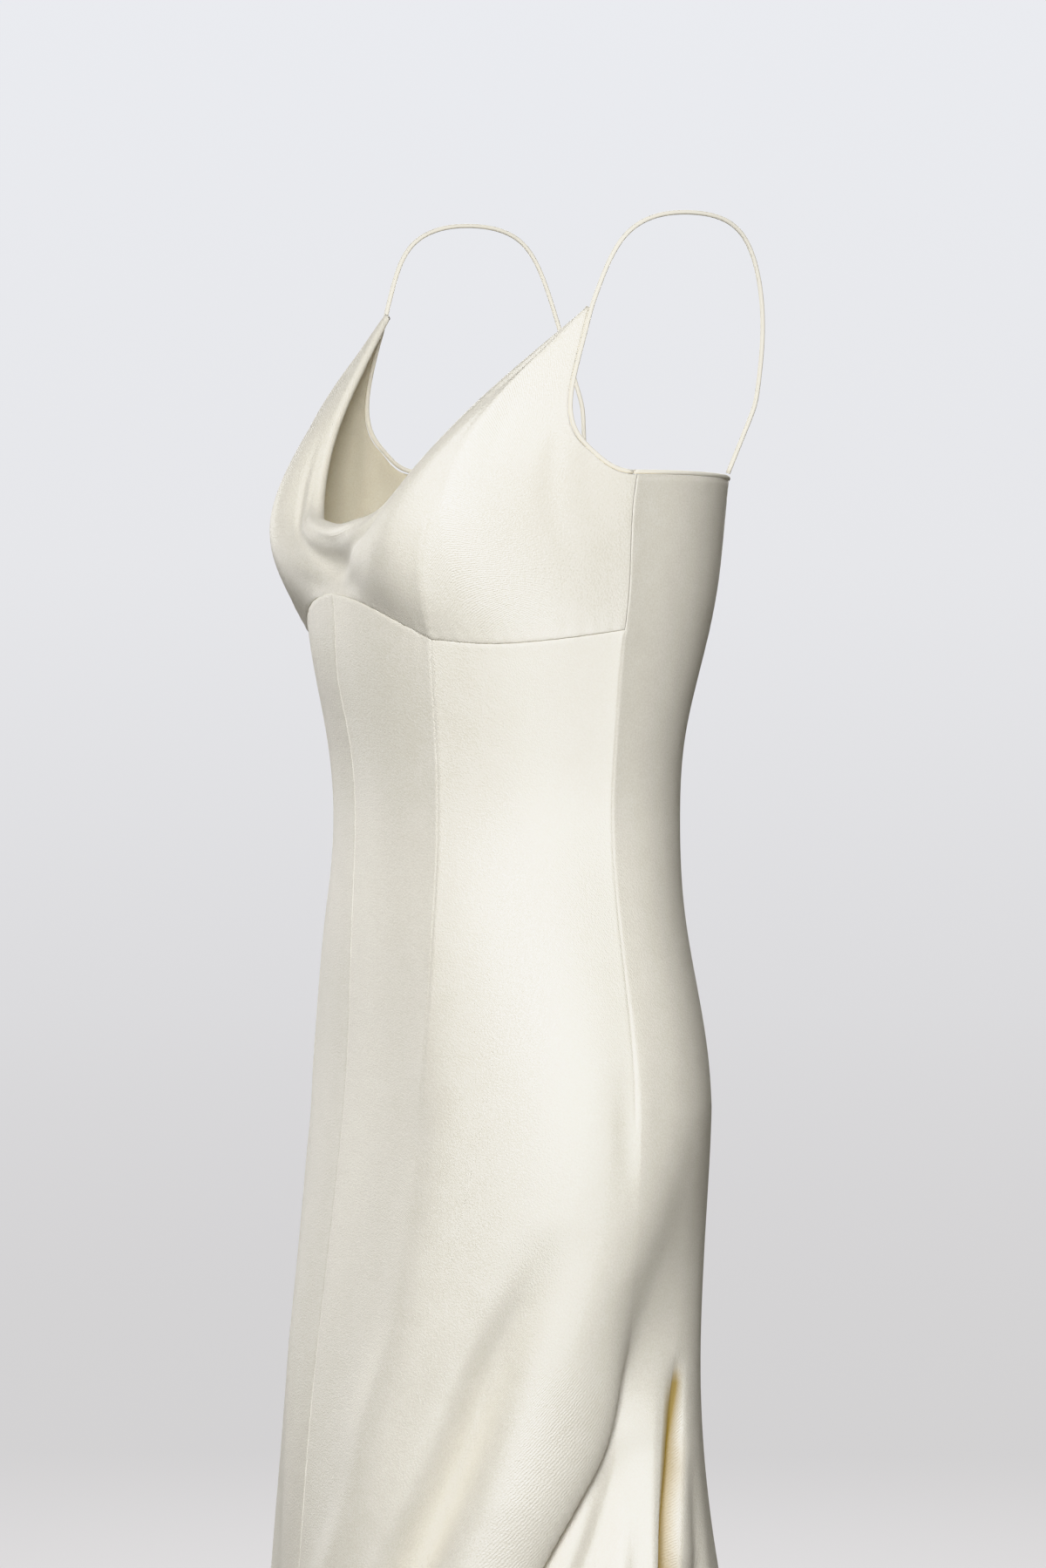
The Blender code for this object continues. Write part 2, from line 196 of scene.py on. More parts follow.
@dataclass
class FoldSet:
    """All the folds of the skirt."""

    folds: tuple[Fold, ...]
    painted_light_from: float = 0.8       # depth in a gap at which the painted light sets in, in millimetres
    painted_light_over: float = 2.0       # further depth over which it grows to its full share
    fade_from: float = 0.88      # depth below the origin at which it starts to fade, in metres
    fade_over: float = 0.16      # further depth over which it fades
    tracks: list[Curve] = field(init=False)

    def __post_init__(self) -> None:
        """Fit one curve along each fold."""
        self.tracks = [fold.track() for fold in self.folds]

    def __call__(self, angle: Array, z: Array) -> tuple[Array, Array]:
        """Depth and sideways slide of the cloth.

        Args:
            angle: Angles from centre front, in radians.
            z: Heights.

        Returns:
            How far the folds draw the cloth in, in metres, and how far they slide it, in radians.
        """
        depth = np.zeros_like(angle)
        slide = np.zeros_like(angle)
        for fold, track in zip(self.folds, self.tracks):
            away, drawn = self.trough(fold, track, angle, z)
            depth += drawn
            if fold.lean:
                grown = eased((fold.lean_from - z) / 0.12)
                slide += grown * fold.lean * bump(away + fold.near, fold.near * 0.8)
        return depth * MM, np.radians(slide)

    @staticmethod
    def trough(fold: Fold, track: Curve, angle: Array, z: Array) -> tuple[Array, Array]:
        """One fold's hollow.

        Args:
            fold: The fold.
            track: The curve along it.
            angle: Angles from centre front, in radians.
            z: Heights.

        Returns:
            Degrees from the fold's middle, and how deep it is there in millimetres.
        """
        middle, deep = np.moveaxis(track(-z), -1, 0)
        deep = np.where((z > fold.stops[0].z) | (z < fold.stops[-1].z - 0.001), 0, deep)
        away = (np.degrees(angle) - middle + 180) % 360 - 180
        spread = np.where(away < 0, fold.near, fold.far)
        spread = spread * (1 + (fold.flare - 1) * eased((KNEE_Z - z) / (KNEE_Z - HEM_Z)))
        return away, deep * np.exp(-np.abs(away / spread) ** fold.power)

    def painted_light_share(self, angle: Array, z: Array) -> Array:
        """Share of painted light on the cloth: painted shade and glow in the narrow gaps.

        Args:
            angle: Angles from centre front, in radians.
            z: Heights.

        Returns:
            1 inside the narrow gaps, fading below the knees, and 0 elsewhere.
        """
        share = np.zeros_like(angle)
        for fold, track in zip(self.folds, self.tracks):
            if fold.has_painted_light:
                _, depth = self.trough(fold, track, angle, z)
                share = np.maximum(share, eased((depth - self.painted_light_from) / self.painted_light_over))
        return share * (1 - eased((-z - self.fade_from) / self.fade_over))


@dataclass
class DressForm:
    """The worn form of the body and skirt: a rounded section at each height, with the folds."""

    levels: tuple[Level, ...]
    seam_points: tuple[tuple[float, float], ...]
    folds: FoldSet
    squareness: float = 2.2      # 2 is an ellipse, and more is squarer
    step: float = 0.004          # distance over which slopes are measured

    def __post_init__(self) -> None:
        """Fit the curves through the tables."""
        self.level_curve = Curve([-level.z for level in self.levels], [level[1:] for level in self.levels])
        self.seam_curve = Curve(*zip(*self.seam_points))

    def turned(self, points: Array) -> Array:
        """The points after each level is turned about the vertical by its small angle.

        Args:
            points: Points of the straight form.

        Returns:
            Points of the worn form.
        """
        turn = np.radians(self.level_curve(-points[..., 2])[..., 4])
        x = points[..., 0] * np.cos(turn) - points[..., 1] * np.sin(turn)
        y = points[..., 0] * np.sin(turn) + points[..., 1] * np.cos(turn)
        return np.stack((x, y, points[..., 2]), -1)

    def surface(self, angle: Array, z: Array) -> Array:
        """Outer surface.

        Args:
            angle: Angles from centre front, in radians.
            z: Heights.

        Returns:
            One point for each pair.
        """
        angle, z = np.broadcast_arrays(np.asarray(angle, float), np.asarray(z, float))
        centre_y, half_width, front, back, _ = np.moveaxis(self.level_curve(-z), -1, 0)
        drawn_in, slide = self.folds(angle, z)
        slid = angle + slide
        depth = np.where(np.cos(slid) > 0, front, back)
        power = self.squareness
        reach = np.abs(np.sin(slid) / half_width) ** power + np.abs(np.cos(slid) / depth) ** power
        reach = reach ** (-1 / power) - drawn_in
        return self.turned(np.stack((reach * np.sin(slid), centre_y - reach * np.cos(slid), z), -1))

    def normals(self, angle: Array, z: Array) -> Array:
        """Outward unit normals of the surface.

        Args:
            angle: Angles from centre front, in radians.
            z: Heights.

        Returns:
            One normal for each pair.
        """
        along = self.surface(angle + self.step, z) - self.surface(angle - self.step, z)
        upward = self.surface(angle, z + self.step) - self.surface(angle, z - self.step)
        return unit(np.cross(along, upward))

    def underbust_z(self, angle: Array) -> Array:
        """Height of the underbust seam, carried on level round the back."""
        return self.seam_curve(np.abs(np.degrees(angle)))[..., 0]

    def back_top_z(self, angle: Array) -> Array:
        """Height of the back's top edge, from the side seam to centre back."""
        share = (np.abs(angle) - SIDE_ANGLE) / (math.pi - SIDE_ANGLE)
        return UNDERARM_Z + (BACK_TOP_Z - UNDERARM_Z) * eased(share)


class Station(NamedTuple):
    """One column of the bodice front: its fullest point and its point on the top edge."""

    column: float
    full: tuple[float, float, float]
    edge: tuple[float, float, float]


@dataclass
class CupForm:
    """The bodice front's surface, from the underbust seam over the cups to the top edge."""

    body: DressForm
    neck: tuple[Station, ...]
    armhole: tuple[Station, ...]
    side_blend: float = 0.86     # share of the way round from which the cup joins the body's side
    column_step: float = 0.1     # columns over which slopes are measured
    up_step: float = 0.004       # share of the way up over which slopes are measured

    def __post_init__(self) -> None:
        """Fit the curves through both sides' stations."""
        neck = self._both_sides(self.neck)
        armhole = self._both_sides((self.neck[-1],) + self.armhole)
        every = self._both_sides(self.neck + self.armhole)
        self.full_curve = Curve(every[:, 0], every[:, 1:4])
        self.neck_edge = Curve(neck[:, 0], neck[:, 4:7])
        self.left_edge = self._edge_of(armhole[armhole[:, 0] > 0])
        self.right_edge = self._edge_of(armhole[armhole[:, 0] < 0])

    @staticmethod
    def _both_sides(stations: Sequence[Station]) -> Array:
        """Rows of numbers for the stations and their mirror images.

        Args:
            stations: Stations of the left half.

        Returns:
            One row for each column from right to left: column, fullest point, edge point.
        """
        rows = []
        for column, full, edge in stations:
            rows.append((column, *full, *edge))
            if column > 0:
                rows.append((-column, -full[0], *full[1:], -edge[0], *edge[1:]))
        return np.array(sorted(rows))

    @staticmethod
    def _edge_of(rows: Array) -> Curve:
        """Curve of the top edge through some rows of numbers."""
        return Curve(rows[:, 0], rows[:, 4:7])

    def edge(self, column: Array) -> Array:
        """Points of the top edge: the neckline between the straps, or an armhole.

        Args:
            column: Columns from centre front.

        Returns:
            One point for each column.
        """
        wing = np.where(column[..., None] > 0, self.left_edge(column), self.right_edge(column))
        between = np.abs(column[..., None]) <= STRAP_COLUMN
        return self.body.turned(np.where(between, self.neck_edge(column), wing))

    def surface(self, column: Array, up: Array) -> Array:
        """Outer surface.

        Args:
            column: Columns from centre front to the left side seam, negative on the right.
            up: Shares of the way from the underbust seam to the top edge.

        Returns:
            One point for each pair.
        """
        column, up = np.broadcast_arrays(np.asarray(column, float), np.asarray(up, float))
        angle = column / SIDE_COLUMN * SIDE_ANGLE
        seam_z = self.body.underbust_z(angle) + SEAM_GAP / 2
        foot = self.body.surface(angle, seam_z)
        full = self.body.turned(self.full_curve(column))
        edge = self.edge(column)
        lower = np.linalg.norm(full - foot, axis=-1)
        upper = np.linalg.norm(edge - full, axis=-1)
        knot = (lower / (lower + upper))[..., None]
        share = up[..., None]
        bend = 3 * ((edge - full) / (1 - knot) - (full - foot) / knot)
        low = np.clip(share / knot, 0, 1)
        high = np.clip((share - knot) / (1 - knot), 0, 1)
        below = (1 - low) * foot + low * full + (low**3 - low) * bend * knot**2 / 6
        rest = 1 - high
        above = rest * full + high * edge + (rest**3 - rest) * bend * (1 - knot) ** 2 / 6
        point = np.where(share < knot, below, above)
        at_side = eased((np.abs(angle) / SIDE_ANGLE - self.side_blend) / (1 - self.side_blend))[..., None]
        on_side = self.body.surface(angle, seam_z + (UNDERARM_Z - seam_z) * up)
        return point * (1 - at_side) + on_side * at_side

    def frames(self, column: Array, up: Array) -> tuple[Array, Array]:
        """Directions on the surface.

        Args:
            column: Columns from centre front.
            up: Shares of the way from the underbust seam to the top edge.

        Returns:
            Unit tangents towards the left, and outward unit normals.
        """
        ahead = self.surface(np.minimum(column + self.column_step, SIDE_COLUMN), up)
        behind = self.surface(np.maximum(column - self.column_step, -SIDE_COLUMN), up)
        above = self.surface(column, np.minimum(up + self.up_step, 1))
        below = self.surface(column, np.maximum(up - self.up_step, 0))
        tangent = unit(ahead - behind)
        return tangent, unit(np.cross(tangent, above - below))


@dataclass(frozen=True)
class Stitching:
    """Relief of a pressed seam or dart, in metres: a fine groove between two soft welts."""

    groove: float = 0.34 * MM
    groove_width: float = 0.65 * MM
    welt: float = 0.13 * MM
    welt_width: float = 1.6 * MM
    welt_place: float = 2.4 * MM
    pucker: float = 0.09 * MM
    pucker_reach: float = 5.0 * MM
    pucker_length: float = 0.0085

    def relief(self, away: Array, along: Array) -> Array:
        """Height of the cloth beside the line.

        Args:
            away: Signed distances from the line.
            along: Distances along the line.

        Returns:
            Heights, negative inward.
        """
        sunk = -self.groove * bump(away, self.groove_width)
        beside = bump(away - self.welt_place, self.welt_width) + bump(away + self.welt_place, self.welt_width)
        phase = along / self.pucker_length
        waves = np.sin(2 * math.pi * phase + 1.7 * np.sin(phase * 0.83)) * np.sin(phase * 0.61 + 1.1)
        return sunk + self.welt * beside + self.pucker * waves * bump(away, self.pucker_reach)

    @staticmethod
    def joined_edge(away: Array) -> Array:
        """Relief at a piece's own seamed edge: it dips to the seam and has one welt beside it."""
        return -0.22 * MM * np.exp(-away / (0.7 * MM)) + 0.12 * MM * bump(away - 2.6 * MM, 1.6 * MM)


class Cloth:
    """Helpers that turn a grid of cells into a thin sheet of satin."""

    @staticmethod
    def sheet(
        name: str,
        size: tuple[int, int],
        place: Callable[[Array, Array], tuple[Array, Array, Array]],
        keep: Callable[[float, float], bool],
        outward: Callable[[Vector], Vector],
    ) -> bpy.types.Object:
        """A sheet of cloth on a grid of cells.

        Args:
            name: Name of the piece.
            size: Cells across and down.
            place: Gives points, flat places and shares of painted light from columns and rows.
            keep: Says whether the cell around a column and a row is part of the piece.
            outward: Gives a vector that points out of the dress from a point.

        Returns:
            The sheet as a linked object, with a live wall thickness.
        """
        columns, rows = size
        mesh = bmesh.new()
        bmesh.ops.create_grid(mesh, x_segments=columns, y_segments=rows, size=0.5)
        mesh.verts.ensure_lookup_table()
        places = np.array([vert.co[:2] for vert in mesh.verts]) + 0.5
        across = np.rint(places[:, 0] * columns).astype(int)
        down = np.rint(places[:, 1] * rows).astype(int)
        points, flats, painted_light_shares = place(across, down)
        spare = []
        for face in mesh.faces:
            middle = face.calc_center_median()
            if not keep((middle.x + 0.5) * columns, (middle.y + 0.5) * rows):
                spare.append(face)
        layer = mesh.loops.layers.uv.new("flat_cut")
        # each vertex's share of painted light: painted shade and glow in the narrow gaps
        painted_light_share = mesh.verts.layers.float.new("painted_gap_light")
        for vert in mesh.verts:
            vert.co = points[vert.index]
            vert[painted_light_share] = painted_light_shares[vert.index]
        for face in mesh.faces:
            face.smooth = True
            for loop in face.loops:
                loop[layer].uv = flats[loop.vert.index]
        bmesh.ops.delete(mesh, geom=spare, context="FACES")
        mesh.normal_update()
        facing = sum(face.normal.dot(outward(face.calc_center_median())) for face in mesh.faces)
        if facing < 0:
            bmesh.ops.reverse_faces(mesh, faces=mesh.faces[:])
        piece = Cloth.walled(name, mesh, CLOTH)
        piece.modifiers["wall"].material_offset = 1
        return piece

    @staticmethod
    def walled(name: str, mesh: bmesh.types.BMesh, thickness: float) -> bpy.types.Object:
        """A finished mesh as an object with a live wall on its inner side.

        Args:
            name: Name of the piece.
            mesh: The mesh, which is used up.
            thickness: Thickness of the wall.

        Returns:
            The piece.
        """
        piece = linked(name, mesh)
        wall = piece.modifiers.new("wall", "SOLIDIFY")
        wall.thickness = thickness
        wall.offset = -1
        return piece

    @staticmethod
    def offsets(local: Array, count: int, length: Array, tight: Sequence[float], both: bool) -> Array:
        """Offsets of grid lines along a length, close together at its start.

        Args:
            local: Numbers of the lines, from 0 to count.
            count: Number of cells in the length.
            length: The length itself.
            tight: Offsets of the close lines.
            both: Whether the lines are close at the end as well.

        Returns:
            One offset for each number.
        """
        local = np.rint(local).astype(int)
        close = np.array([0.0, *tight])
        last = len(close) - 1
        after = last if both else 0
        head = close[np.minimum(local, last)]
        tail = length - close[np.clip(count - local, 0, after)]
        share = (local - last) / (count - last - after)
        middle = close[last] + (length - close[last] - close[after]) * share
        return np.where(local <= last, head, np.where(local >= count - after, tail, middle))

    @staticmethod
    def spread(count: int, tight: Sequence[float]) -> Array:
        """Shares of the way at some grid lines, close together at the start.

        Args:
            count: Number of cells.
            tight: Shares at the close lines.

        Returns:
            Count + 1 rising shares, from 0 to 1.
        """
        return np.array([0.0, *tight[:-1], *np.linspace(tight[-1], 1, count + 1 - len(tight))])


@dataclass
class Tube:
    """A rouleau: a narrow bias strip sewn into a round cord of cloth."""

    name: str
    radius: float = ROULEAU_RADIUS
    sides: int = 16
    wall: float = 0.3 * MM
    seam_rise: float = 0.09      # how much fuller the tube is over its own seam
    seam_spread: float = 0.4     # half-width of that seam, in radians

    def build(self, path: Array) -> bpy.types.Object:
        """Sweep the cord along a path.

        Args:
            path: Points of its centre line.

        Returns:
            The tube as a linked object, open at its ends.
        """
        along = unit(np.gradient(path, axis=0))
        lengths = np.concatenate(([0.0], np.cumsum(np.linalg.norm(np.diff(path, axis=0), axis=1))))
        side = Vector(along[0]).orthogonal().normalized()
        mesh = bmesh.new()
        ring = bmesh.ops.create_circle(mesh, segments=self.sides, radius=self.radius)["verts"]
        for vert in ring:
            turn = math.atan2(vert.co.y, vert.co.x)
            vert.co *= 1 + self.seam_rise * math.exp(-((turn / self.seam_spread) ** 2))
        rims = mesh.edges[:]
        slots = {vert: (0, number) for number, vert in enumerate(ring)}
        before = Matrix.Identity(4)
        for row, (point, ahead) in enumerate(zip(path, along)):
            ahead = Vector(ahead)
            side = (side - ahead * side.dot(ahead)).normalized()
            turned = Matrix((side, ahead.cross(side), ahead)).transposed().to_4x4()
            here = Matrix.Translation(point) @ turned
            if row:
                grown = bmesh.ops.extrude_edge_only(mesh, edges=rims)["geom"]
                fresh = [item for item in grown if isinstance(item, bmesh.types.BMVert)]
                owned = set(fresh)
                rims = [
                    item
                    for item in grown
                    if isinstance(item, bmesh.types.BMEdge) and set(item.verts) <= owned
                ]
                for vert in fresh:
                    for edge in vert.link_edges:
                        other = edge.other_vert(vert)
                        if other not in owned:
                            slots[vert] = (row, slots[other][1])
                ring = fresh
            bmesh.ops.transform(mesh, matrix=here @ before.inverted(), verts=ring)
            before = here
        layer = mesh.loops.layers.uv.new("flat_cut")
        for face in mesh.faces:
            face.smooth = True
            numbers = [slots[loop.vert][1] for loop in face.loops]
            wraps = max(numbers) - min(numbers) > 1
            for loop, number in zip(face.loops, numbers):
                number += self.sides if wraps and number == 0 else 0
                around = number / self.sides * 2 * math.pi * self.radius
                loop[layer].uv = (around, lengths[slots[loop.vert][0]])
        mesh.normal_update()
        mesh.faces.ensure_lookup_table()
        first = mesh.faces[0]
        if first.normal.dot(first.calc_center_median() - Vector((path[0] + path[1]) / 2)) < 0:
            bmesh.ops.reverse_faces(mesh, faces=mesh.faces[:])
        LOG.info("%s: %.3f m long", self.name, lengths[-1])
        return Cloth.walled(self.name, mesh, self.wall)


class Drag(NamedTuple):
    """One fine drag line that fans down a cup from the strap's foot."""

    foot_column: float
    low: float               # share of the way up at which it ends
    depth: float             # millimetres
    width: float             # columns


@dataclass
class BodiceFront:
    """The cowl-necked front: two darted cups and a rolled neck edge with its own facing."""

    form: CupForm
    columns: int = 210
    rows: int = 84
    roll_rows: int = 14
    facing_rows: int = 8
    roll_at_front: float = 0.0062
    roll_at_strap: float = 0.0022
    facing_at_front: float = 0.022
    facing_at_strap: float = 0.0008
    dart_foot: float = 6.0
    dart_tip: float = 7.7
    dart_top: float = 0.40
    inner_columns: int = 45
    tight: tuple[float, ...] = (0.06, 0.13, 0.22, 0.34)         # columns beside a dart or seam
    close_rows: tuple[float, ...] = (0.0035, 0.0075, 0.013, 0.02)    # shares of the way up
    column_width: float = 0.0143
    drags: tuple[Drag, ...] = (
        Drag(5.4, 0.42, 0.5, 0.42),
        Drag(6.7, 0.48, 0.7, 0.36),
        Drag(7.6, 0.36, 0.9, 0.40),
        Drag(9.3, 0.50, 0.7, 0.42),
    )
    stitching: Stitching = Stitching()

    def dart_column(self, up: Array) -> Array:
        """Column of the cup dart's line at some shares of the way up."""
        return self.dart_foot + (self.dart_tip - self.dart_foot) * np.minimum(up / self.dart_top, 1.0)

    def column_at(self, number: Array, up: Array) -> Array:
        """Column of a grid line, with lines close together beside the darts and the side seams.

        Args:
            number: Numbers of the lines from the right side seam.
            up: Shares of the way from the underbust seam to the top edge.

        Returns:
            One column for each pair.
        """
        half = self.columns // 2
        step = np.abs(number - half)
        dart = self.dart_column(np.clip(up, 0, 1))
        inner = self.inner_columns
        near = dart - Cloth.offsets(inner - np.minimum(step, inner), inner, dart, self.tight, False)
        outer = np.maximum(step - inner, 0)
        far = dart + Cloth.offsets(outer, half - inner, SIDE_COLUMN - dart, self.tight, True)
        return np.sign(number - half) * np.where(step <= inner, near, far)

    def cowl(self, column: Array, up: Array, below: Array) -> Array:
        """Drapes of the cowl between the cups, in millimetres.

        Args:
            column: Columns from centre front.
            up: Shares of the way from the underbust seam to the top edge.
            below: Distances below the top edge.

        Returns:
            Heights, negative inward.
        """
        size = np.abs(column)
        valley = -1.0 * bump(column, 1.9) * eased(up / 0.35) * (1 - 0.8 * eased((up - 0.65) / 0.30))
        crease = (19 - 8.5 * eased(size / 3.6)) * MM
        held = 1 - eased((size - 3.8) / 2.4)
        rope = 1.0 * bump(below - 0.36 * crease, 0.30 * crease)
        groove = 1.2 * bump(below - crease, 0.30 * crease)
        second = 0.9 * bump(below - 28 * MM, 6 * MM) * bump(column, 3.0)
        third = 0.5 * bump(below - 37 * MM, 6 * MM) * bump(column, 2.6)
        return valley + held * (rope - groove) + second - third

    def drag_lines(self, size: Array, up: Array) -> Array:
        """Fine lines from the strap's foot and along the armhole, in millimetres.

        Args:
            size: Columns from centre front, without their sign.
            up: Shares of the way from the underbust seam to the top edge.

        Returns:
            Heights, negative inward.
        """
        fan = np.zeros_like(size)
        for drag in self.drags:
            line = STRAP_COLUMN - 0.25 + (drag.foot_column - STRAP_COLUMN) * (1 - up) / (1 - drag.low)
            fade = eased((up - drag.low) / 0.3) * (1 - eased((up - 0.86) / 0.14))
            fan -= drag.depth * bump(size - line, drag.width * (1.6 - up)) * fade
        held = eased((up - 0.25) / 0.4) * (1 - eased((up - 0.85) / 0.15))
        return fan - 0.8 * bump(size - 10.4 - (1 - up) * 2.6, 0.5) * held

    def relief(self, column: Array, up: Array) -> Array:
        """Height of the drapes, welts and dart above the plain cups.

        Args:
            column: Columns from centre front.
            up: Shares of the way from the underbust seam to the top edge.

        Returns:
            Heights in metres, negative inward.
        """
        body = self.form.body
        angle = column / SIDE_COLUMN * SIDE_ANGLE
        foot = body.surface(angle, body.underbust_z(angle))
        height = np.linalg.norm(self.form.edge(column) - foot, axis=-1) * 1.06
        above = up * height
        size = np.abs(column)
        spacing = self.column_width
        reach = size - self.dart_column(up)
        flank = (SIDE_COLUMN - size) * spacing
        corner = 3.2 * np.exp(-np.abs(reach) * spacing / (10 * MM)) * (1 - eased((up - 0.14) / 0.28))
        corner += 4.5 * np.exp(-flank / (24 * MM))
        soft = (self.cowl(column, up, (1 - up) * height) + self.drag_lines(size, up) + corner) * MM
        dart = self.stitching.relief(reach * spacing, above)
        dart *= 1 - eased((up - self.dart_top + 0.06) / 0.06)
        tip = -0.7 * MM * bump(reach, 0.7) * bump(up - self.dart_top - 0.03, 0.05)
        wave = np.sin(2 * math.pi * column * spacing / 0.0093 + 1.3 * np.sin(column * 1.9))
        gathers = 0.16 * MM * wave * bump(above, 9 * MM)
        side = -0.2 * MM * np.exp(-flank / (0.8 * MM))
        return soft + dart + tip + self.stitching.joined_edge(above) + gathers + side

    def place(self, across: Array, down: Array) -> tuple[Array, Array, Array]:
        """Points of the grid, rolled over at the neck edge.

        Args:
            across: Grid columns.
            down: Grid rows from the underbust seam up.

        Returns:
            Points, flat places in metres, and shares of painted light, which are all 0.
        """
        ups = Cloth.spread(self.rows, self.close_rows)
        up = ups[np.minimum(down, self.rows)]
        column = self.column_at(across.astype(float), up)
        tangent, normal = self.form.frames(column, up)
        point = self.form.surface(column, up) + normal * self.relief(column, up)[:, None]
        at_seam = np.where(np.abs(column) > SIDE_COLUMN - 1e-6, np.sign(column), 0)
        point -= tangent * at_seam[:, None] * SEAM_GAP / 2
        share = np.clip(1 - (column / STRAP_COLUMN) ** 2, 0, 1)
        radius = self.roll_at_strap + (self.roll_at_front - self.roll_at_strap) * share
        length = self.facing_at_strap + (self.facing_at_front - self.facing_at_strap) * share
        ahead = self.form.edge(np.minimum(column + self.form.column_step, STRAP_COLUMN))
        behind = self.form.edge(np.maximum(column - self.form.column_step, -STRAP_COLUMN))
        over = unit(np.cross(normal, ahead - behind))
        past = np.maximum(down - self.rows, 0)
        turn = math.pi * np.minimum(past / self.roll_rows, 1)
        hang = length * np.maximum(past - self.roll_rows, 0) / self.facing_rows
        centre = point - normal * radius[:, None] - over * hang[:, None]
        rolled = centre + (normal * np.cos(turn)[:, None] + over * np.sin(turn)[:, None]) * radius[:, None]
        point = np.where(past[:, None] > 0, rolled, point)
        height = 0.10 + 0.12 * np.abs(column) / STRAP_COLUMN
        flats = np.stack((column * self.column_width, up * height + past * 0.0011), -1)
        return point, flats, np.zeros_like(up)

    def build(self) -> bpy.types.Object:
        """Build the bodice front.

        Returns:
            The front as one sheet, linked to the scene.
        """
        half = self.columns // 2
        edge_columns = self.column_at(np.arange(half, self.columns + 1.0), np.ones(1))
        strap = int(np.argmin(np.abs(edge_columns - STRAP_COLUMN)))
        total = self.rows + self.roll_rows + self.facing_rows

        def keep(column: float, row: float) -> bool:
            """Whether a cell is cloth: the facing is only between the straps."""
            return row < self.rows or abs(column - half) < strap

        def outward(point: Vector) -> Vector:
            """Out of the dress, to the front."""
            return Vector((point.x, point.y + 0.02, 0))

        return Cloth.sheet("bodice_front_satin", (self.columns, total), self.place, keep, outward)


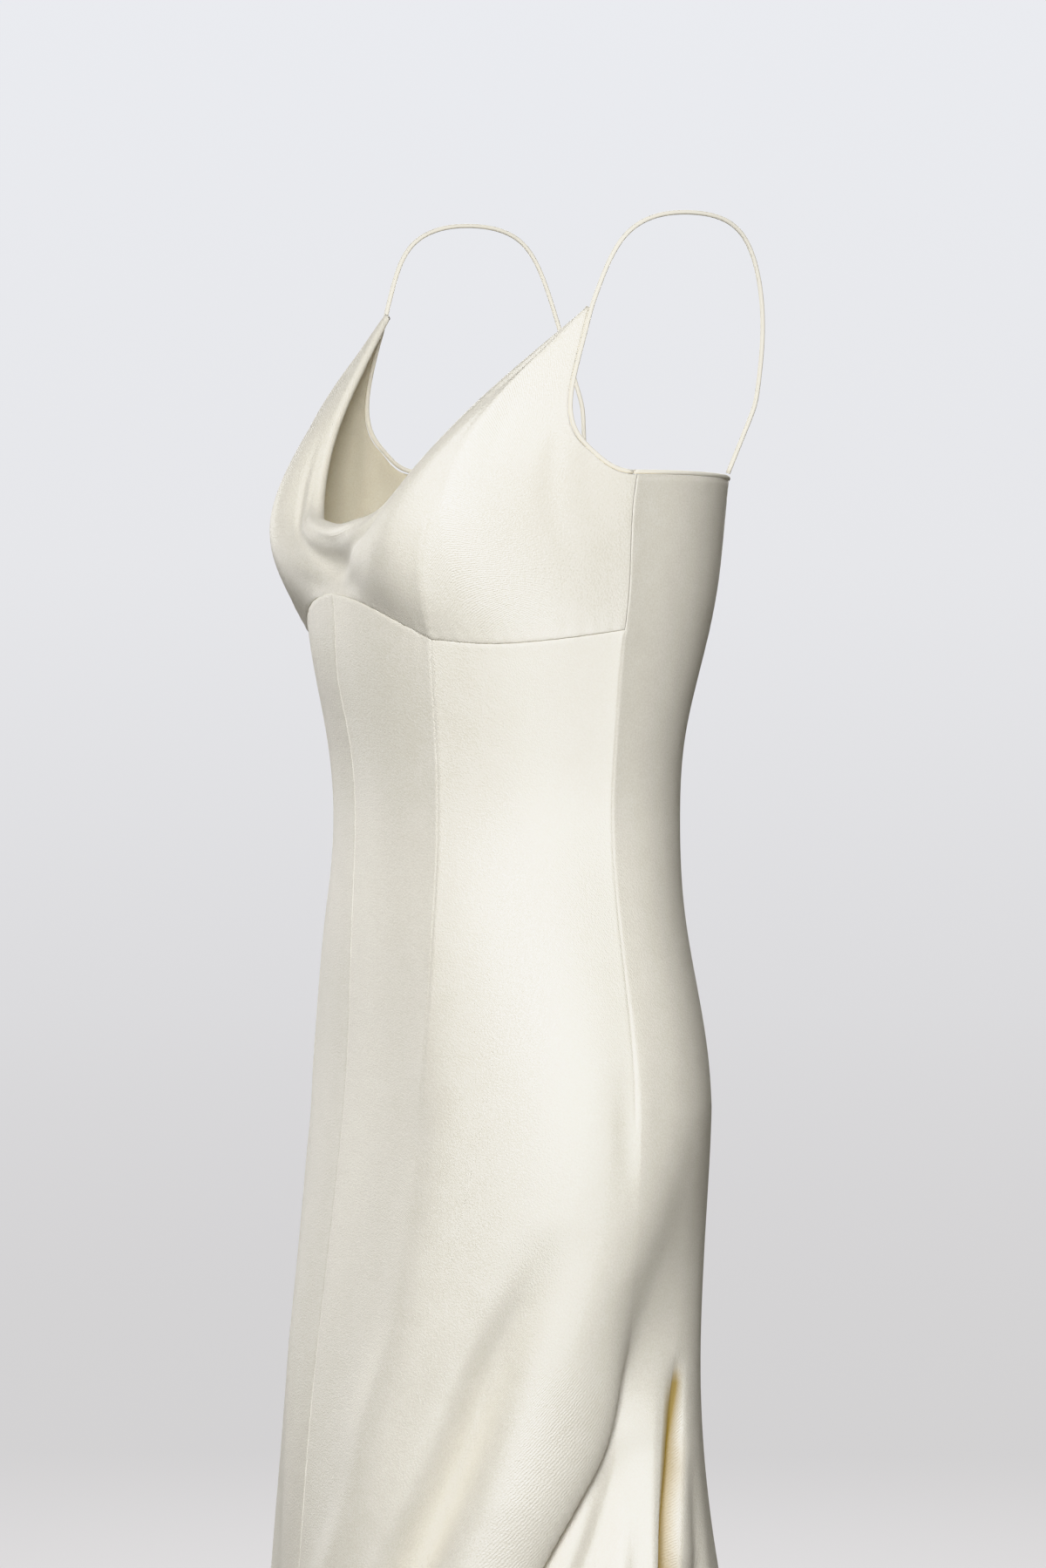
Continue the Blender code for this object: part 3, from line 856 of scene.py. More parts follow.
@dataclass
class HalfPanel:
    """Half of the body and skirt, cut in one from centre front round to centre back."""

    form: DressForm
    side: Side
    cells: tuple[int, ...] = (34, 42, 14, 30, 28)
    upper_rows: int = 22
    rows: int = 252
    hem_rows: int = 8
    hem_radius: float = 0.0012
    dart_end: float = -0.551
    side_dart_end: float = -0.555
    back_dart_ends: tuple[float, float] = (-0.185, -0.470)
    usual_radius: float = 0.15   # distance from the middle, which turns metres into angles
    hem_turn: float = 1.7 * math.pi
    tight: tuple[float, ...] = (0.0006, 0.0013, 0.0023, 0.0036)      # metres beside a line
    close_rows: tuple[float, ...] = (0.0005, 0.0011, 0.002, 0.0032)  # shares of the way down
    stitching: Stitching = Stitching()

    def __post_init__(self) -> None:
        """Fit the lines of the seams and darts: angle by depth below the origin."""
        sign = self.side.value
        depths = (0.23, 0.247, 0.286, 0.302, 0.322, 0.365, 0.43, 1.42)
        wander = (0, 0.7, -0.9, -0.2, 0.5, 0.3, 0, 0)
        self.front_line = Curve(depths, [sign * off for off in wander])
        depths = (0.15, 0.26, 0.36, 0.45, 0.551, 0.8, 1.42)
        self.dart_line = Curve(depths, (38.5, 38.5, 40.0, 40.2, 38.0, 31.0, 30.0))
        self.side_line = Curve((0.15, 1.42), (90, 90))
        depths = (0.15, 0.60, 0.69, 0.726, 0.782, 0.835, 1.1, 1.42)
        self.pleat_line = Curve(depths, (110, 111, 109.3, 107.3, 103.2, 100.2, 99.5, 101.5))
        self.back_line = Curve((0.15, 0.26, 0.5, 1.42), (146, 142, 145, 143))

    def lines(self, z: Array) -> Array:
        """Lines of the seams, darts and side pleat.

        Args:
            z: Heights.

        Returns:
            Angles in degrees, one row for each height, from centre front to centre back.
        """
        depth = -z
        ends = np.full(z.shape, 180.0)
        inner = (self.front_line, self.dart_line, self.side_line, self.pleat_line, self.back_line)
        return np.stack((*(line(depth)[..., 0] for line in inner), ends), -1)

    def angle_at(self, across: Array, z: Array) -> Array:
        """Angle of the grid columns, which are close together at the lines.

        Args:
            across: Grid columns from centre front.
            z: Heights.

        Returns:
            One angle in radians for each pair.
        """
        lines = self.lines(z)
        tight = np.degrees(np.array(self.tight) / self.usual_radius)
        angle = np.zeros_like(z)
        first = 0
        for part, count in enumerate(self.cells):
            inside = (across >= first) & (across <= first + count)
            start = lines[inside, part]
            length = lines[inside, part + 1] - start
            angle[inside] = start + Cloth.offsets(across[inside] - first, count, length, tight, True)
            first += count
        return np.radians(angle)

    def height_at(self, down: Array, angle: Array) -> Array:
        """Height of the grid rows.

        Args:
            down: Grid rows from the back's top edge.
            angle: Angles from centre front, in radians.

        Returns:
            One height for each pair.
        """
        seam_z = self.form.underbust_z(angle) - SEAM_GAP / 2
        shares = Cloth.spread(self.rows, self.close_rows)
        main = np.clip(down - self.upper_rows, 0, self.rows)
        lower = seam_z + (HEM_Z - seam_z) * shares[main]
        rise = np.clip(self.upper_rows - down, 0, self.upper_rows) / self.upper_rows
        upper = seam_z + (self.form.back_top_z(np.maximum(angle, SIDE_ANGLE)) - seam_z) * rise
        return np.where(down < self.upper_rows, upper, lower)

    def darts(self, away: Array, z: Array) -> Array:
        """Relief of the darts and the side seam, with the soft corners and hollows beside them.

        Args:
            away: Distances from the seams and darts, one row for each point.
            z: Heights.

        Returns:
            Heights of the cloth in metres, negative inward.
        """
        sewn = self.stitching.relief
        front = sewn(away[:, 1], z) * eased((z - self.dart_end) / 0.025)
        side = sewn(away[:, 2], z) * eased((z - self.side_dart_end) / 0.02)
        top, low = self.back_dart_ends
        back = sewn(away[:, 4], z) * eased((z - low) / 0.03) * eased((top - z) / 0.03)
        corner = 1.8 * MM * np.exp(-np.abs(away[:, 1]) / (12 * MM)) * eased((z + 0.62) / 0.12)
        corner += 4.5 * MM * np.exp(-np.abs(away[:, 2]) / (18 * MM)) * eased((z + 0.56) / 0.26)
        past = z - self.side_dart_end
        dimple = -1.1 * MM * bump(away[:, 2] + 5.5 * MM, 6 * MM) * bump(past - 0.006, 0.028)
        dimple += 1.2 * MM * bump(away[:, 2] - 4.5 * MM, 5 * MM) * bump(past - 0.022, 0.050)
        tip = -0.7 * MM * bump(away[:, 1], 7 * MM) * bump(z - self.dart_end + 0.006, 0.018)
        return front + side + back + corner + dimple + tip

    def centre_seams(self, first: Array, last: Array, z: Array) -> Array:
        """Relief of the centre front and centre back seams.

        Args:
            first: Distances from the centre front seam.
            last: Distances from the centre back seam, negative.
            z: Heights.

        Returns:
            Heights of the cloth in metres, negative inward.
        """
        closing = np.exp(-first.clip(0) / (0.8 * MM)) + np.exp(last.clip(None, 0) / (0.8 * MM))
        welts = bump(first - 2.6 * MM, 1.6 * MM) + bump(last + 2.6 * MM, 1.6 * MM)
        wave = np.sin(2 * math.pi * z / 0.0113 + 1.9 * np.sin(z * 71)) * np.sin(z * 57 + 0.4)
        puckers = wave * (bump(first, 7 * MM) + bump(last, 7 * MM))
        return (0.12 * welts + 0.20 * puckers - 0.30 * closing) * MM

    def relief(self, angle: Array, z: Array) -> Array:
        """Height of darts, seams and small ripples above the plain form.

        Args:
            angle: Angles from centre front, in radians.
            z: Heights.

        Returns:
            Heights of the cloth in metres, negative inward.
        """
        degrees = np.degrees(angle)
        radius = 0.135 + 0.05 * eased((-z - 0.8) / 0.6)
        away = np.radians(degrees[:, None] - self.lines(z)) * radius[:, None]
        drop = self.form.underbust_z(angle) - z
        gathers = 0.16 * MM * np.sin(degrees * 1.35 + 1.5 * np.sin(degrees * 0.21)) * bump(drop, 12 * MM)
        seam = np.where(degrees <= 90.5, self.stitching.joined_edge(np.abs(drop)) + gathers, 0)
        sewn = self.darts(away, z) + self.centre_seams(away[:, 0], away[:, -1], z)
        return sewn + seam + self.ripples(degrees, z)

    def ripples(self, degrees: Array, z: Array) -> Array:
        """Broad, shallow unevenness of bias cloth.

        Args:
            degrees: Angles from centre front.
            z: Heights.

        Returns:
            Heights of the cloth in metres, negative inward.
        """
        depth = -z
        low = eased((depth - 0.45) / 0.35)
        slow = np.sin(np.radians(degrees) * 5.0 + 7.0 * depth + 1.3 * np.sin(depth * 9.0))
        quick = np.sin(np.radians(degrees) * 13.0 - 5.0 * depth + 2.1 * np.sin(depth * 6.0 + self.side.value))
        waist = np.sin(depth * 52 + np.radians(degrees) * 3.0) * bump(depth - 0.36, 0.07)
        return (0.35 * slow * (0.4 + low) + 0.25 * quick * (0.2 + low) + 0.22 * waist) * MM

    def place(self, across: Array, down: Array) -> tuple[Array, Array, Array]:
        """Points of the grid, with the hem rolled in.

        Args:
            across: Grid columns from centre front.
            down: Grid rows from the back's top edge.

        Returns:
            Points, flat places in metres, and shares of painted light: painted shade and glow in gaps.
        """
        z = np.full(across.shape, -0.3)
        # the lines lean with height, and the seam's height goes with the angle
        for _ in range(4):
            angle = self.angle_at(across, z)
            z = self.height_at(down, angle)
        angle = self.angle_at(across, z)
        sign = self.side.value
        form = self.form
        turned = sign * angle
        point = form.surface(turned, z)
        normal = form.normals(turned, z)
        tangent = unit(form.surface(turned + form.step, z) - form.surface(turned - form.step, z)) * sign
        point += normal * self.relief(angle, z)[:, None]
        last = sum(self.cells)
        side_column = self.cells[0] + self.cells[1]
        inset = np.where((across == 0) | ((down < self.upper_rows) & (across == side_column)), 1, 0)
        inset = inset - np.where(across == last, 1, 0)
        point += tangent * inset[:, None] * SEAM_GAP / 2
        past = np.maximum(down - self.upper_rows - self.rows, 0)
        turn = self.hem_turn * past / self.hem_rows
        radius = self.hem_radius * (1 + 0.12 * np.sin(np.degrees(angle) * 1.9))
        centre = point - normal * radius[:, None]
        around = normal * np.cos(turn)[:, None] - np.array((0, 0, 1)) * np.sin(turn)[:, None]
        point = np.where(past[:, None] > 0, centre + around * radius[:, None], point)
        flats = np.stack((angle * 0.19, z - past * 0.0008), -1)
        return point, flats, form.folds.painted_light_share(turned, z)

    def build(self) -> bpy.types.Object:
        """Build the panel.

        Returns:
            The panel as one sheet, linked to the scene.
        """
        side_column = self.cells[0] + self.cells[1]
        total = self.upper_rows + self.rows + self.hem_rows

        def keep(column: float, row: float) -> bool:
            """Whether a cell is cloth: above the underbust seam there is only the back."""
            return row > self.upper_rows or column > side_column

        def outward(point: Vector) -> Vector:
            """Away from the dress's middle."""
            return Vector((point.x, point.y + 0.04, 0))

        word = self.side.name.lower()
        return Cloth.sheet(f"panel_{word}_satin", (sum(self.cells), total), self.place, keep, outward)


@dataclass
class Rouleaux:
    """The straps, which also bind the armholes, and the binding of the back's top edge."""

    cups: CupForm
    shoulder: tuple[tuple[float, float, float], ...]
    back_angle: float = 138.0    # degrees from centre front where the straps join the back
    radius: float = ROULEAU_RADIUS
    gap: float = 0.1 * MM
    step: float = 4 * MM

    def armhole(self, sign: int) -> Array:
        """Centre line along the armhole, from the side seam up to the strap.

        Args:
            sign: 1 for the left armhole and -1 for the right one.

        Returns:
            Points of the line.
        """
        column = sign * np.linspace(SIDE_COLUMN - 0.1, STRAP_COLUMN, 46)
        up = np.ones_like(column)
        _, normal = self.cups.frames(column, up)
        size = np.abs(column)
        ahead = self.cups.edge(sign * np.minimum(size + 0.2, SIDE_COLUMN))
        behind = self.cups.edge(sign * np.maximum(size - 0.2, STRAP_COLUMN))
        out = unit(np.cross(normal, ahead - behind)) * sign
        return self.cups.surface(column, up) - normal * CLOTH / 2 + out * (self.radius + self.gap)

    def strap(self, side: Side) -> bpy.types.Object:
        """One strap: along the armhole, over the shoulder and down to the back.

        Args:
            side: The wearer's side.

        Returns:
            The strap.
        """
        sign = side.value
        form = self.cups.body
        curve = Curve(range(len(self.shoulder)), self.shoulder)
        over = curve(np.linspace(0, len(self.shoulder) - 1, 70)) * np.array((sign, 1, 1))
        angle = np.array(sign * math.radians(self.back_angle))
        z = form.back_top_z(angle)
        foot = form.surface(angle, z) - form.normals(angle, z) * CLOTH / 2
        foot = foot + np.array((0, 0, 3 * self.radius + 2 * self.gap))
        path = np.concatenate((self.armhole(sign), form.turned(over), foot[None]))
        return Tube(f"strap_{side.name.lower()}_rouleau", self.radius).build(self.smoothed(path))

    def back(self) -> bpy.types.Object:
        """The binding of the back's top edge, from side seam to side seam.

        Returns:
            The binding.
        """
        form = self.cups.body
        inset = 0.0012
        angle = np.linspace(SIDE_ANGLE + inset, 2 * math.pi - SIDE_ANGLE - inset, 150)
        z = form.back_top_z(np.where(angle <= math.pi, angle, 2 * math.pi - angle))
        path = form.surface(angle, z) - form.normals(angle, z) * CLOTH / 2
        path[:, 2] += self.radius + self.gap
        return Tube("back_binding_rouleau", self.radius).build(path)

    def smoothed(self, path: Array) -> Array:
        """The path in even steps, with its corners eased.

        Args:
            path: Points of the path.

        Returns:
            Points about one step apart.
        """
        lengths = np.concatenate(([0.0], np.cumsum(np.linalg.norm(np.diff(path, axis=0), axis=1))))
        even = np.linspace(0, lengths[-1], int(lengths[-1] / self.step))
        path = np.stack([np.interp(even, lengths, path[:, axis]) for axis in range(3)], -1)
        for _ in range(3):
            path[1:-1] = path[1:-1] * 0.5 + (path[:-2] + path[2:]) * 0.25
        return path


class Wiring:
    """Adds nodes to one tree and links them."""

    def __init__(self, tree: bpy.types.NodeTree) -> None:
        """Take the tree that the nodes go into."""
        self.tree = tree

    def add(self, kind: str, inputs: dict | None = None, **settings: object) -> bpy.types.Node:
        """A new node.

        Args:
            kind: Its type.
            inputs: What its inputs get, by name or number: a value, or the socket that feeds them.
            settings: Its other settings, which are made before the inputs are filled.

        Returns:
            The node.
        """
        node = self.tree.nodes.new(kind)
        for name, value in settings.items():
            setattr(node, name, value)
        self.fill(node, inputs or {})
        return node

    def fill(self, node: bpy.types.Node, inputs: dict) -> None:
        """Give a node's inputs their values or links.

        Args:
            node: The node.
            inputs: What its inputs get, by name or number.
        """
        for name, value in inputs.items():
            if isinstance(value, bpy.types.NodeSocket):
                self.tree.links.new(value, node.inputs[name])
            else:
                node.inputs[name].default_value = value

    def blend(self, share: object, first: object, second: object, kind: str) -> bpy.types.NodeSocket:
        """Blend of two values or colours.

        Args:
            share: Share of the second: a number or a socket.
            first: What is shown at share 0.
            second: What is shown at share 1.
            kind: FLOAT or RGBA.

        Returns:
            The blend's socket.
        """
        ends = {"Factor": share, "A": first, "B": second}
        return self.add("ShaderNodeMix", ends, data_type=kind).outputs["Result"]


class CrepeGrain:
    """Shared relief and tone of crepe satin, as one group of nodes."""

    NAME = "crepe_grain"
    SHARE = 0.22                 # share of the weave in the relief, and of the mottle in the tone

    @classmethod
    def group(cls) -> bpy.types.NodeTree:
        """The group, built once.

        Returns:
            The tree of nodes that every finish shares.
        """
        tree = bpy.data.node_groups.get(cls.NAME)
        if tree:
            return tree
        tree = bpy.data.node_groups.new(cls.NAME, "ShaderNodeTree")
        for name, value in (("Grain Scale", 900.0), ("Weave Scale", 300.0), ("Mottle Scale", 60.0)):
            socket = tree.interface.new_socket(name, in_out="INPUT", socket_type="NodeSocketFloat")
            socket.default_value = value
        for name in ("Height", "Tone", "Gloss"):
            tree.interface.new_socket(name, in_out="OUTPUT", socket_type="NodeSocketFloat")
        wiring = Wiring(tree)
        scales = wiring.add("NodeGroupInput")
        where = wiring.add("ShaderNodeTexCoord")
        cut = wiring.add("ShaderNodeUVMap", uv_map="flat_cut")
        turned = {"Vector": cut.outputs["UV"], "Rotation": (0, 0, math.radians(45))}
        bias = wiring.add("ShaderNodeMapping", turned)
        spots = {"Vector": where.outputs["Object"], "Scale": scales.outputs["Grain Scale"]}
        grain = wiring.add("ShaderNodeTexNoise", spots | {"Detail": 2.0, "Roughness": 0.6})
        lines = {"Vector": bias.outputs["Vector"], "Scale": scales.outputs["Weave Scale"]}
        weave = wiring.add("ShaderNodeTexWave", lines | {"Distortion": 3.0, "Detail": 1.0})
        clouds = {"Vector": where.outputs["Object"], "Scale": scales.outputs["Mottle Scale"]}
        mottle = wiring.add("ShaderNodeTexNoise", clouds | {"Detail": 3.0})
        height = wiring.blend(cls.SHARE, grain.outputs["Fac"], weave.outputs["Fac"], "FLOAT")
        tone = wiring.blend(cls.SHARE, grain.outputs["Fac"], mottle.outputs["Fac"], "FLOAT")
        wiring.add("NodeGroupOutput", {"Height": height, "Tone": tone, "Gloss": mottle.outputs["Fac"]})
        return tree


@dataclass(frozen=True)
class SatinFinish:
    """One face of the cloth.

    Light and dark are the colours of the grain's crowns and hollows. Deep is a painted shade, the
    darker golden colour inside a narrow gap, and painted glow is how bright the painted light is
    that the gap gives off there; dulling is how much rougher the cloth is there.
    """

    name: str
    light: tuple[float, float, float]
    dark: tuple[float, float, float]
    # painted shade inside the narrow gaps
    deep: tuple[float, float, float] = (0.22, 0.15, 0.03)
    tone_range: tuple[float, float] = (0.38, 0.62)
    roughness: float = 0.44
    roughness_range: float = 0.05
    sheen: float = 0.15
    sheen_roughness: float = 0.45
    sheen_tint: tuple[float, float, float] = (1.0, 0.97, 0.92)
    relief: float = 0.80
    relief_depth: float = 0.5 * MM
    painted_glow: float = 0.70
    dulling: float = 0.45
    ior: float = 1.9

    def material(self) -> bpy.types.Material:
        """Build the finish.

        Returns:
            The material.
        """
        material = bpy.data.materials.new(self.name)
        material.use_nodes = True
        wiring = Wiring(material.node_tree)
        grain = wiring.add("ShaderNodeGroup", node_tree=CrepeGrain.group())
        # share of painted light carried by the mesh: 1 inside the narrow gaps
        fold = wiring.add("ShaderNodeAttribute", attribute_name="painted_gap_light").outputs["Fac"]
        low, high = self.tone_range
        tones = {"Value": grain.outputs["Tone"], "From Min": low, "From Max": high}
        tone = wiring.add("ShaderNodeMapRange", tones).outputs["Result"]
        tint = wiring.blend(tone, (*self.dark, 1), (*self.light, 1), "RGBA")
        # painted shade: inside the narrow gaps the grain's tint gives way to the darker golden deep colour
        colour = wiring.blend(fold, tint, (*self.deep, 1), "RGBA")
        # painted glow: the gaps give off light of their own, standing in for light thrown between their walls
        painted_glow_colour = (*(part * self.painted_glow for part in self.deep), 1)
        painted_glow = wiring.blend(fold, (0.0, 0.0, 0.0, 1), painted_glow_colour, "RGBA")
        glosses = {
            "Value": grain.outputs["Gloss"],
            "To Min": self.roughness - self.roughness_range,
            "To Max": self.roughness + self.roughness_range,
        }
        gloss = wiring.add("ShaderNodeMapRange", glosses).outputs["Result"]
        dull = wiring.add("ShaderNodeMath", {0: fold, 1: self.dulling, 2: gloss}, operation="MULTIPLY_ADD")
        depths = {"Height": grain.outputs["Height"], "Strength": self.relief, "Distance": self.relief_depth}
        relief = wiring.add("ShaderNodeBump", depths)
        looks = {
            "Base Color": colour,
            "Roughness": dull.outputs["Value"],
            "Normal": relief.outputs["Normal"],
            "IOR": self.ior,
            "Specular IOR Level": 1.0,
            "Sheen Weight": self.sheen,
            "Sheen Roughness": self.sheen_roughness,
            "Sheen Tint": (*self.sheen_tint, 1),
            "Emission Color": painted_glow,
            "Emission Strength": 1.0,
        }
        wiring.fill(material.node_tree.nodes["Principled BSDF"], looks)
        return material


class SoftBox(NamedTuple):
    """A soft light that looks at the dress, placed in degrees and metres round it."""

    name: str
    azimuth: float
    elevation: float
    distance: float
    size: tuple[float, float]
    power: float
    colour: tuple[float, float, float]


@dataclass
class Studio:
    """Plain pale cove, soft lights and the camera."""

    target: tuple[float, float, float] = (0.0, -0.040, -0.3495)
    azimuth: float = 60.0
    elevation: float = 3.0
    distance: float = 3.6
    view_height: float = 0.97146     # height of what the camera sees at the dress
    sensor: float = 36.0
    floor_z: float = -1.452
    cove_radius: float = 13.0
    cove_corner: float = 2.5
    cove_height: float = 9.0
    paper_painted_light_low: tuple[float, float, float] = (0.655, 0.645, 0.65)
    paper_painted_light_high: tuple[float, float, float] = (0.96, 0.975, 1.02)
    paper_range: tuple[float, float] = (-0.95, 3.3)     # heights of its dimmest and brightest painted light
    far_rise: float = 0.16       # height added for each metre from the dress
    surround: tuple[float, float, float] = (1.0, 0.965, 0.89)
    surround_strength: float = 0.13
    boxes: tuple[SoftBox, ...] = (
        SoftBox("key_box", 55.0, 20.0, 3.4, (1.2, 1.8), 132.0, (0.985, 1.0, 1.03)),
        SoftBox("far_box", -75.0, 8.0, 4.2, (1.8, 2.4), 56.0, (1.0, 0.985, 0.95)),
        SoftBox("back_box", 140.0, 8.0, 3.6, (1.2, 2.0), 8.0, (1.0, 0.97, 0.92)),
        SoftBox("rear_box", 238.0, 16.0, 3.6, (1.4, 2.0), 115.0, (1.0, 0.99, 0.97)),
    )

    def direction(self, azimuth: float, elevation: float) -> Vector:
        """Direction from the dress.

        Args:
            azimuth: Degrees from straight ahead, towards the wearer's left.
            elevation: Degrees above level.

        Returns:
            A unit vector.
        """
        turn = math.radians(azimuth)
        rise = math.radians(elevation)
        return Vector((math.sin(turn) * math.cos(rise), -math.cos(turn) * math.cos(rise), math.sin(rise)))

    def camera(self) -> None:
        """The camera, level with the dress's middle and to the wearer's left."""
        data = bpy.data.cameras.new("camera")
        data.sensor_fit = "AUTO"
        data.sensor_width = self.sensor
        data.lens = self.sensor * self.distance / self.view_height
        data.clip_start = 0.05
        data.clip_end = 60.0
        camera = bpy.data.objects.new("camera", data)
        self.aim(camera, self.azimuth, self.elevation, self.distance)
        bpy.context.scene.camera = camera

    def aim(self, thing: bpy.types.Object, azimuth: float, elevation: float, distance: float) -> None:
        """Stand a camera or a light round the dress, looking at it, and link it.

        Args:
            thing: The camera or light.
            azimuth: Its azimuth round the dress, in degrees.
            elevation: Its elevation above the dress's middle, in degrees.
            distance: Its distance.
        """
        back = self.direction(azimuth, elevation)
        thing.location = Vector(self.target) + back * distance
        thing.rotation_mode = "QUATERNION"
        thing.rotation_quaternion = (-back).to_track_quat("-Z", "Y")
        bpy.context.scene.collection.objects.link(thing)

    def soft_box(self, box: SoftBox) -> None:
        """One soft light.

        Args:
            box: Its place, size and light.
        """
        data = bpy.data.lights.new(box.name, "AREA")
        data.shape = "RECTANGLE"
        data.size, data.size_y = box.size
        data.energy = box.power
        data.color = box.colour
        light = bpy.data.objects.new(box.name, data)
        light.visible_camera = False
        self.aim(light, box.azimuth, box.elevation, box.distance)

    def cove(self) -> None:
        """A round floor that curves up into a wall, lit by its own soft gradient."""
        mesh = bmesh.new()
        corner = self.cove_corner
        flat = self.cove_radius - corner
        outline = [(0.0, self.floor_z), (flat, self.floor_z)]
        for step in range(1, 9):
            turn = math.pi / 2 * step / 8
            outline.append((flat + corner * math.sin(turn), self.floor_z + corner * (1 - math.cos(turn))))
        outline += [(self.cove_radius, self.cove_height), (0.0, self.cove_height)]
        verts = [mesh.verts.new((x, 0.0, z)) for x, z in outline]
        edges = [mesh.edges.new(pair) for pair in zip(verts[:-1], verts[1:])]
        bmesh.ops.spin(
            mesh,
            geom=verts + edges,
            cent=(0, 0, 0),
            axis=(0, 0, 1),
            angle=2 * math.pi,
            steps=64,
            use_merge=True,
        )
        bmesh.ops.remove_doubles(mesh, verts=mesh.verts[:], dist=1e-5)
        bmesh.ops.recalc_face_normals(mesh, faces=mesh.faces[:])
        bmesh.ops.reverse_faces(mesh, faces=mesh.faces[:])
        for face in mesh.faces:
            face.smooth = True
        cove = linked("cove", mesh)
        cove.data.materials.append(self.cove_material())
        cove.visible_diffuse = False
        cove.visible_glossy = False
        cove.visible_shadow = False

    def cove_material(self) -> bpy.types.Material:
        """Pale grey paper with painted light, brighter towards the top.

        Returns:
            The material, which shines by itself so that the floor and wall look even.
        """
        material = bpy.data.materials.new("cove_paper")
        material.use_nodes = True
        wiring = Wiring(material.node_tree)
        where = wiring.add("ShaderNodeTexCoord")
        split = wiring.add("ShaderNodeSeparateXYZ", {"Vector": where.outputs["Object"]})
        level = {0: where.outputs["Object"], 1: (1.0, 1.0, 0.0)}
        plan = wiring.add("ShaderNodeVectorMath", level, operation="MULTIPLY")
        reach = wiring.add("ShaderNodeVectorMath", {0: plan.outputs["Vector"]}, operation="LENGTH")
        rise = {0: reach.outputs["Value"], 1: self.far_rise, 2: split.outputs["Z"]}
        climb = wiring.add("ShaderNodeMath", rise, operation="MULTIPLY_ADD")
        low, high = self.paper_range
        shades = {"Value": climb.outputs["Value"], "From Min": low, "From Max": high}
        share = wiring.add("ShaderNodeMapRange", shades).outputs["Result"]
        looks = {
            "Base Color": (0.05, 0.049, 0.051, 1),
            "Roughness": 0.9,
            "Emission Color": wiring.blend(share, (*self.paper_painted_light_low, 1), (*self.paper_painted_light_high, 1), "RGBA"),
            "Emission Strength": 1.0,
        }
        wiring.fill(material.node_tree.nodes["Principled BSDF"], looks)
        return material

    def build(self) -> None:
        """Set up the cove, the lights, the camera and plain colour handling."""
        self.camera()
        self.cove()
        for box in self.boxes:
            self.soft_box(box)
        world = bpy.data.worlds.new("soft_surround")
        world.use_nodes = True
        surround = world.node_tree.nodes["Background"]
        surround.inputs["Color"].default_value = (*self.surround, 1)
        surround.inputs["Strength"].default_value = self.surround_strength
        bpy.context.scene.world = world
        bpy.context.scene.view_settings.view_transform = "Khronos PBR Neutral"


LEVELS = (
    Level(0.000, 0.000, 0.118, 0.080, 0.080, 5.0),
    Level(-0.057, -0.010, 0.126, 0.090, 0.098, 5.0),
    Level(-0.155, -0.040, 0.134, 0.118, 0.120, 0.0),
    Level(-0.230, -0.040, 0.130, 0.131, 0.112, -1.5),
    Level(-0.263, -0.040, 0.127, 0.128, 0.105, -2.5),
    Level(-0.315, -0.038, 0.122, 0.120, 0.090, -4.0),
    Level(-0.363, -0.037, 0.121, 0.115, 0.085, -5.0),
    Level(-0.431, -0.038, 0.135, 0.116, 0.086, -5.0),
    Level(-0.512, -0.037, 0.154, 0.120, 0.096, -5.0),
    Level(-0.593, -0.038, 0.158, 0.127, 0.098, -5.0),
    Level(-0.701, -0.040, 0.152, 0.139, 0.096, -5.0),
    Level(KNEE_Z, -0.041, 0.156, 0.152, 0.112, -5.0),
    Level(-1.095, -0.036, 0.190, 0.178, 0.178, -4.0),
    Level(HEM_Z, -0.030, 0.236, 0.208, 0.246, -3.0),
)
# degrees from centre front, and height of the underbust seam there
UNDERBUST = (
    (0.0, -0.230),
    (11.0, -0.2335),
    (24.0, -0.2430),
    (38.0, -0.2545),
    (48.0, -0.2585),
    (64.0, -0.2580),
    (90.0, -0.2505),
)
NECK = (
    Station(0, (0.000, -0.167, -0.214), (0.000, -0.173, -0.197)),
    Station(2, (0.028, -0.174, -0.211), (0.027, -0.1735, -0.190)),
    Station(4, (0.053, -0.1785, -0.202), (0.050, -0.161, -0.174)),
    Station(6, (0.079, -0.175, -0.190), (0.079, -0.130, -0.121)),
    Station(STRAP_COLUMN, (0.101, -0.151, -0.187), (0.110, -0.071, -0.057)),
)
ARMHOLE = (
    Station(10, (0.117, -0.117, -0.187), (0.1185, -0.084, -0.113)),
    Station(12, (0.128, -0.079, -0.193), (0.1265, -0.071, -0.1425)),
    Station(SIDE_COLUMN, (0.132, -0.040, -0.201), (0.134, -0.040, UNDERARM_Z)),
)
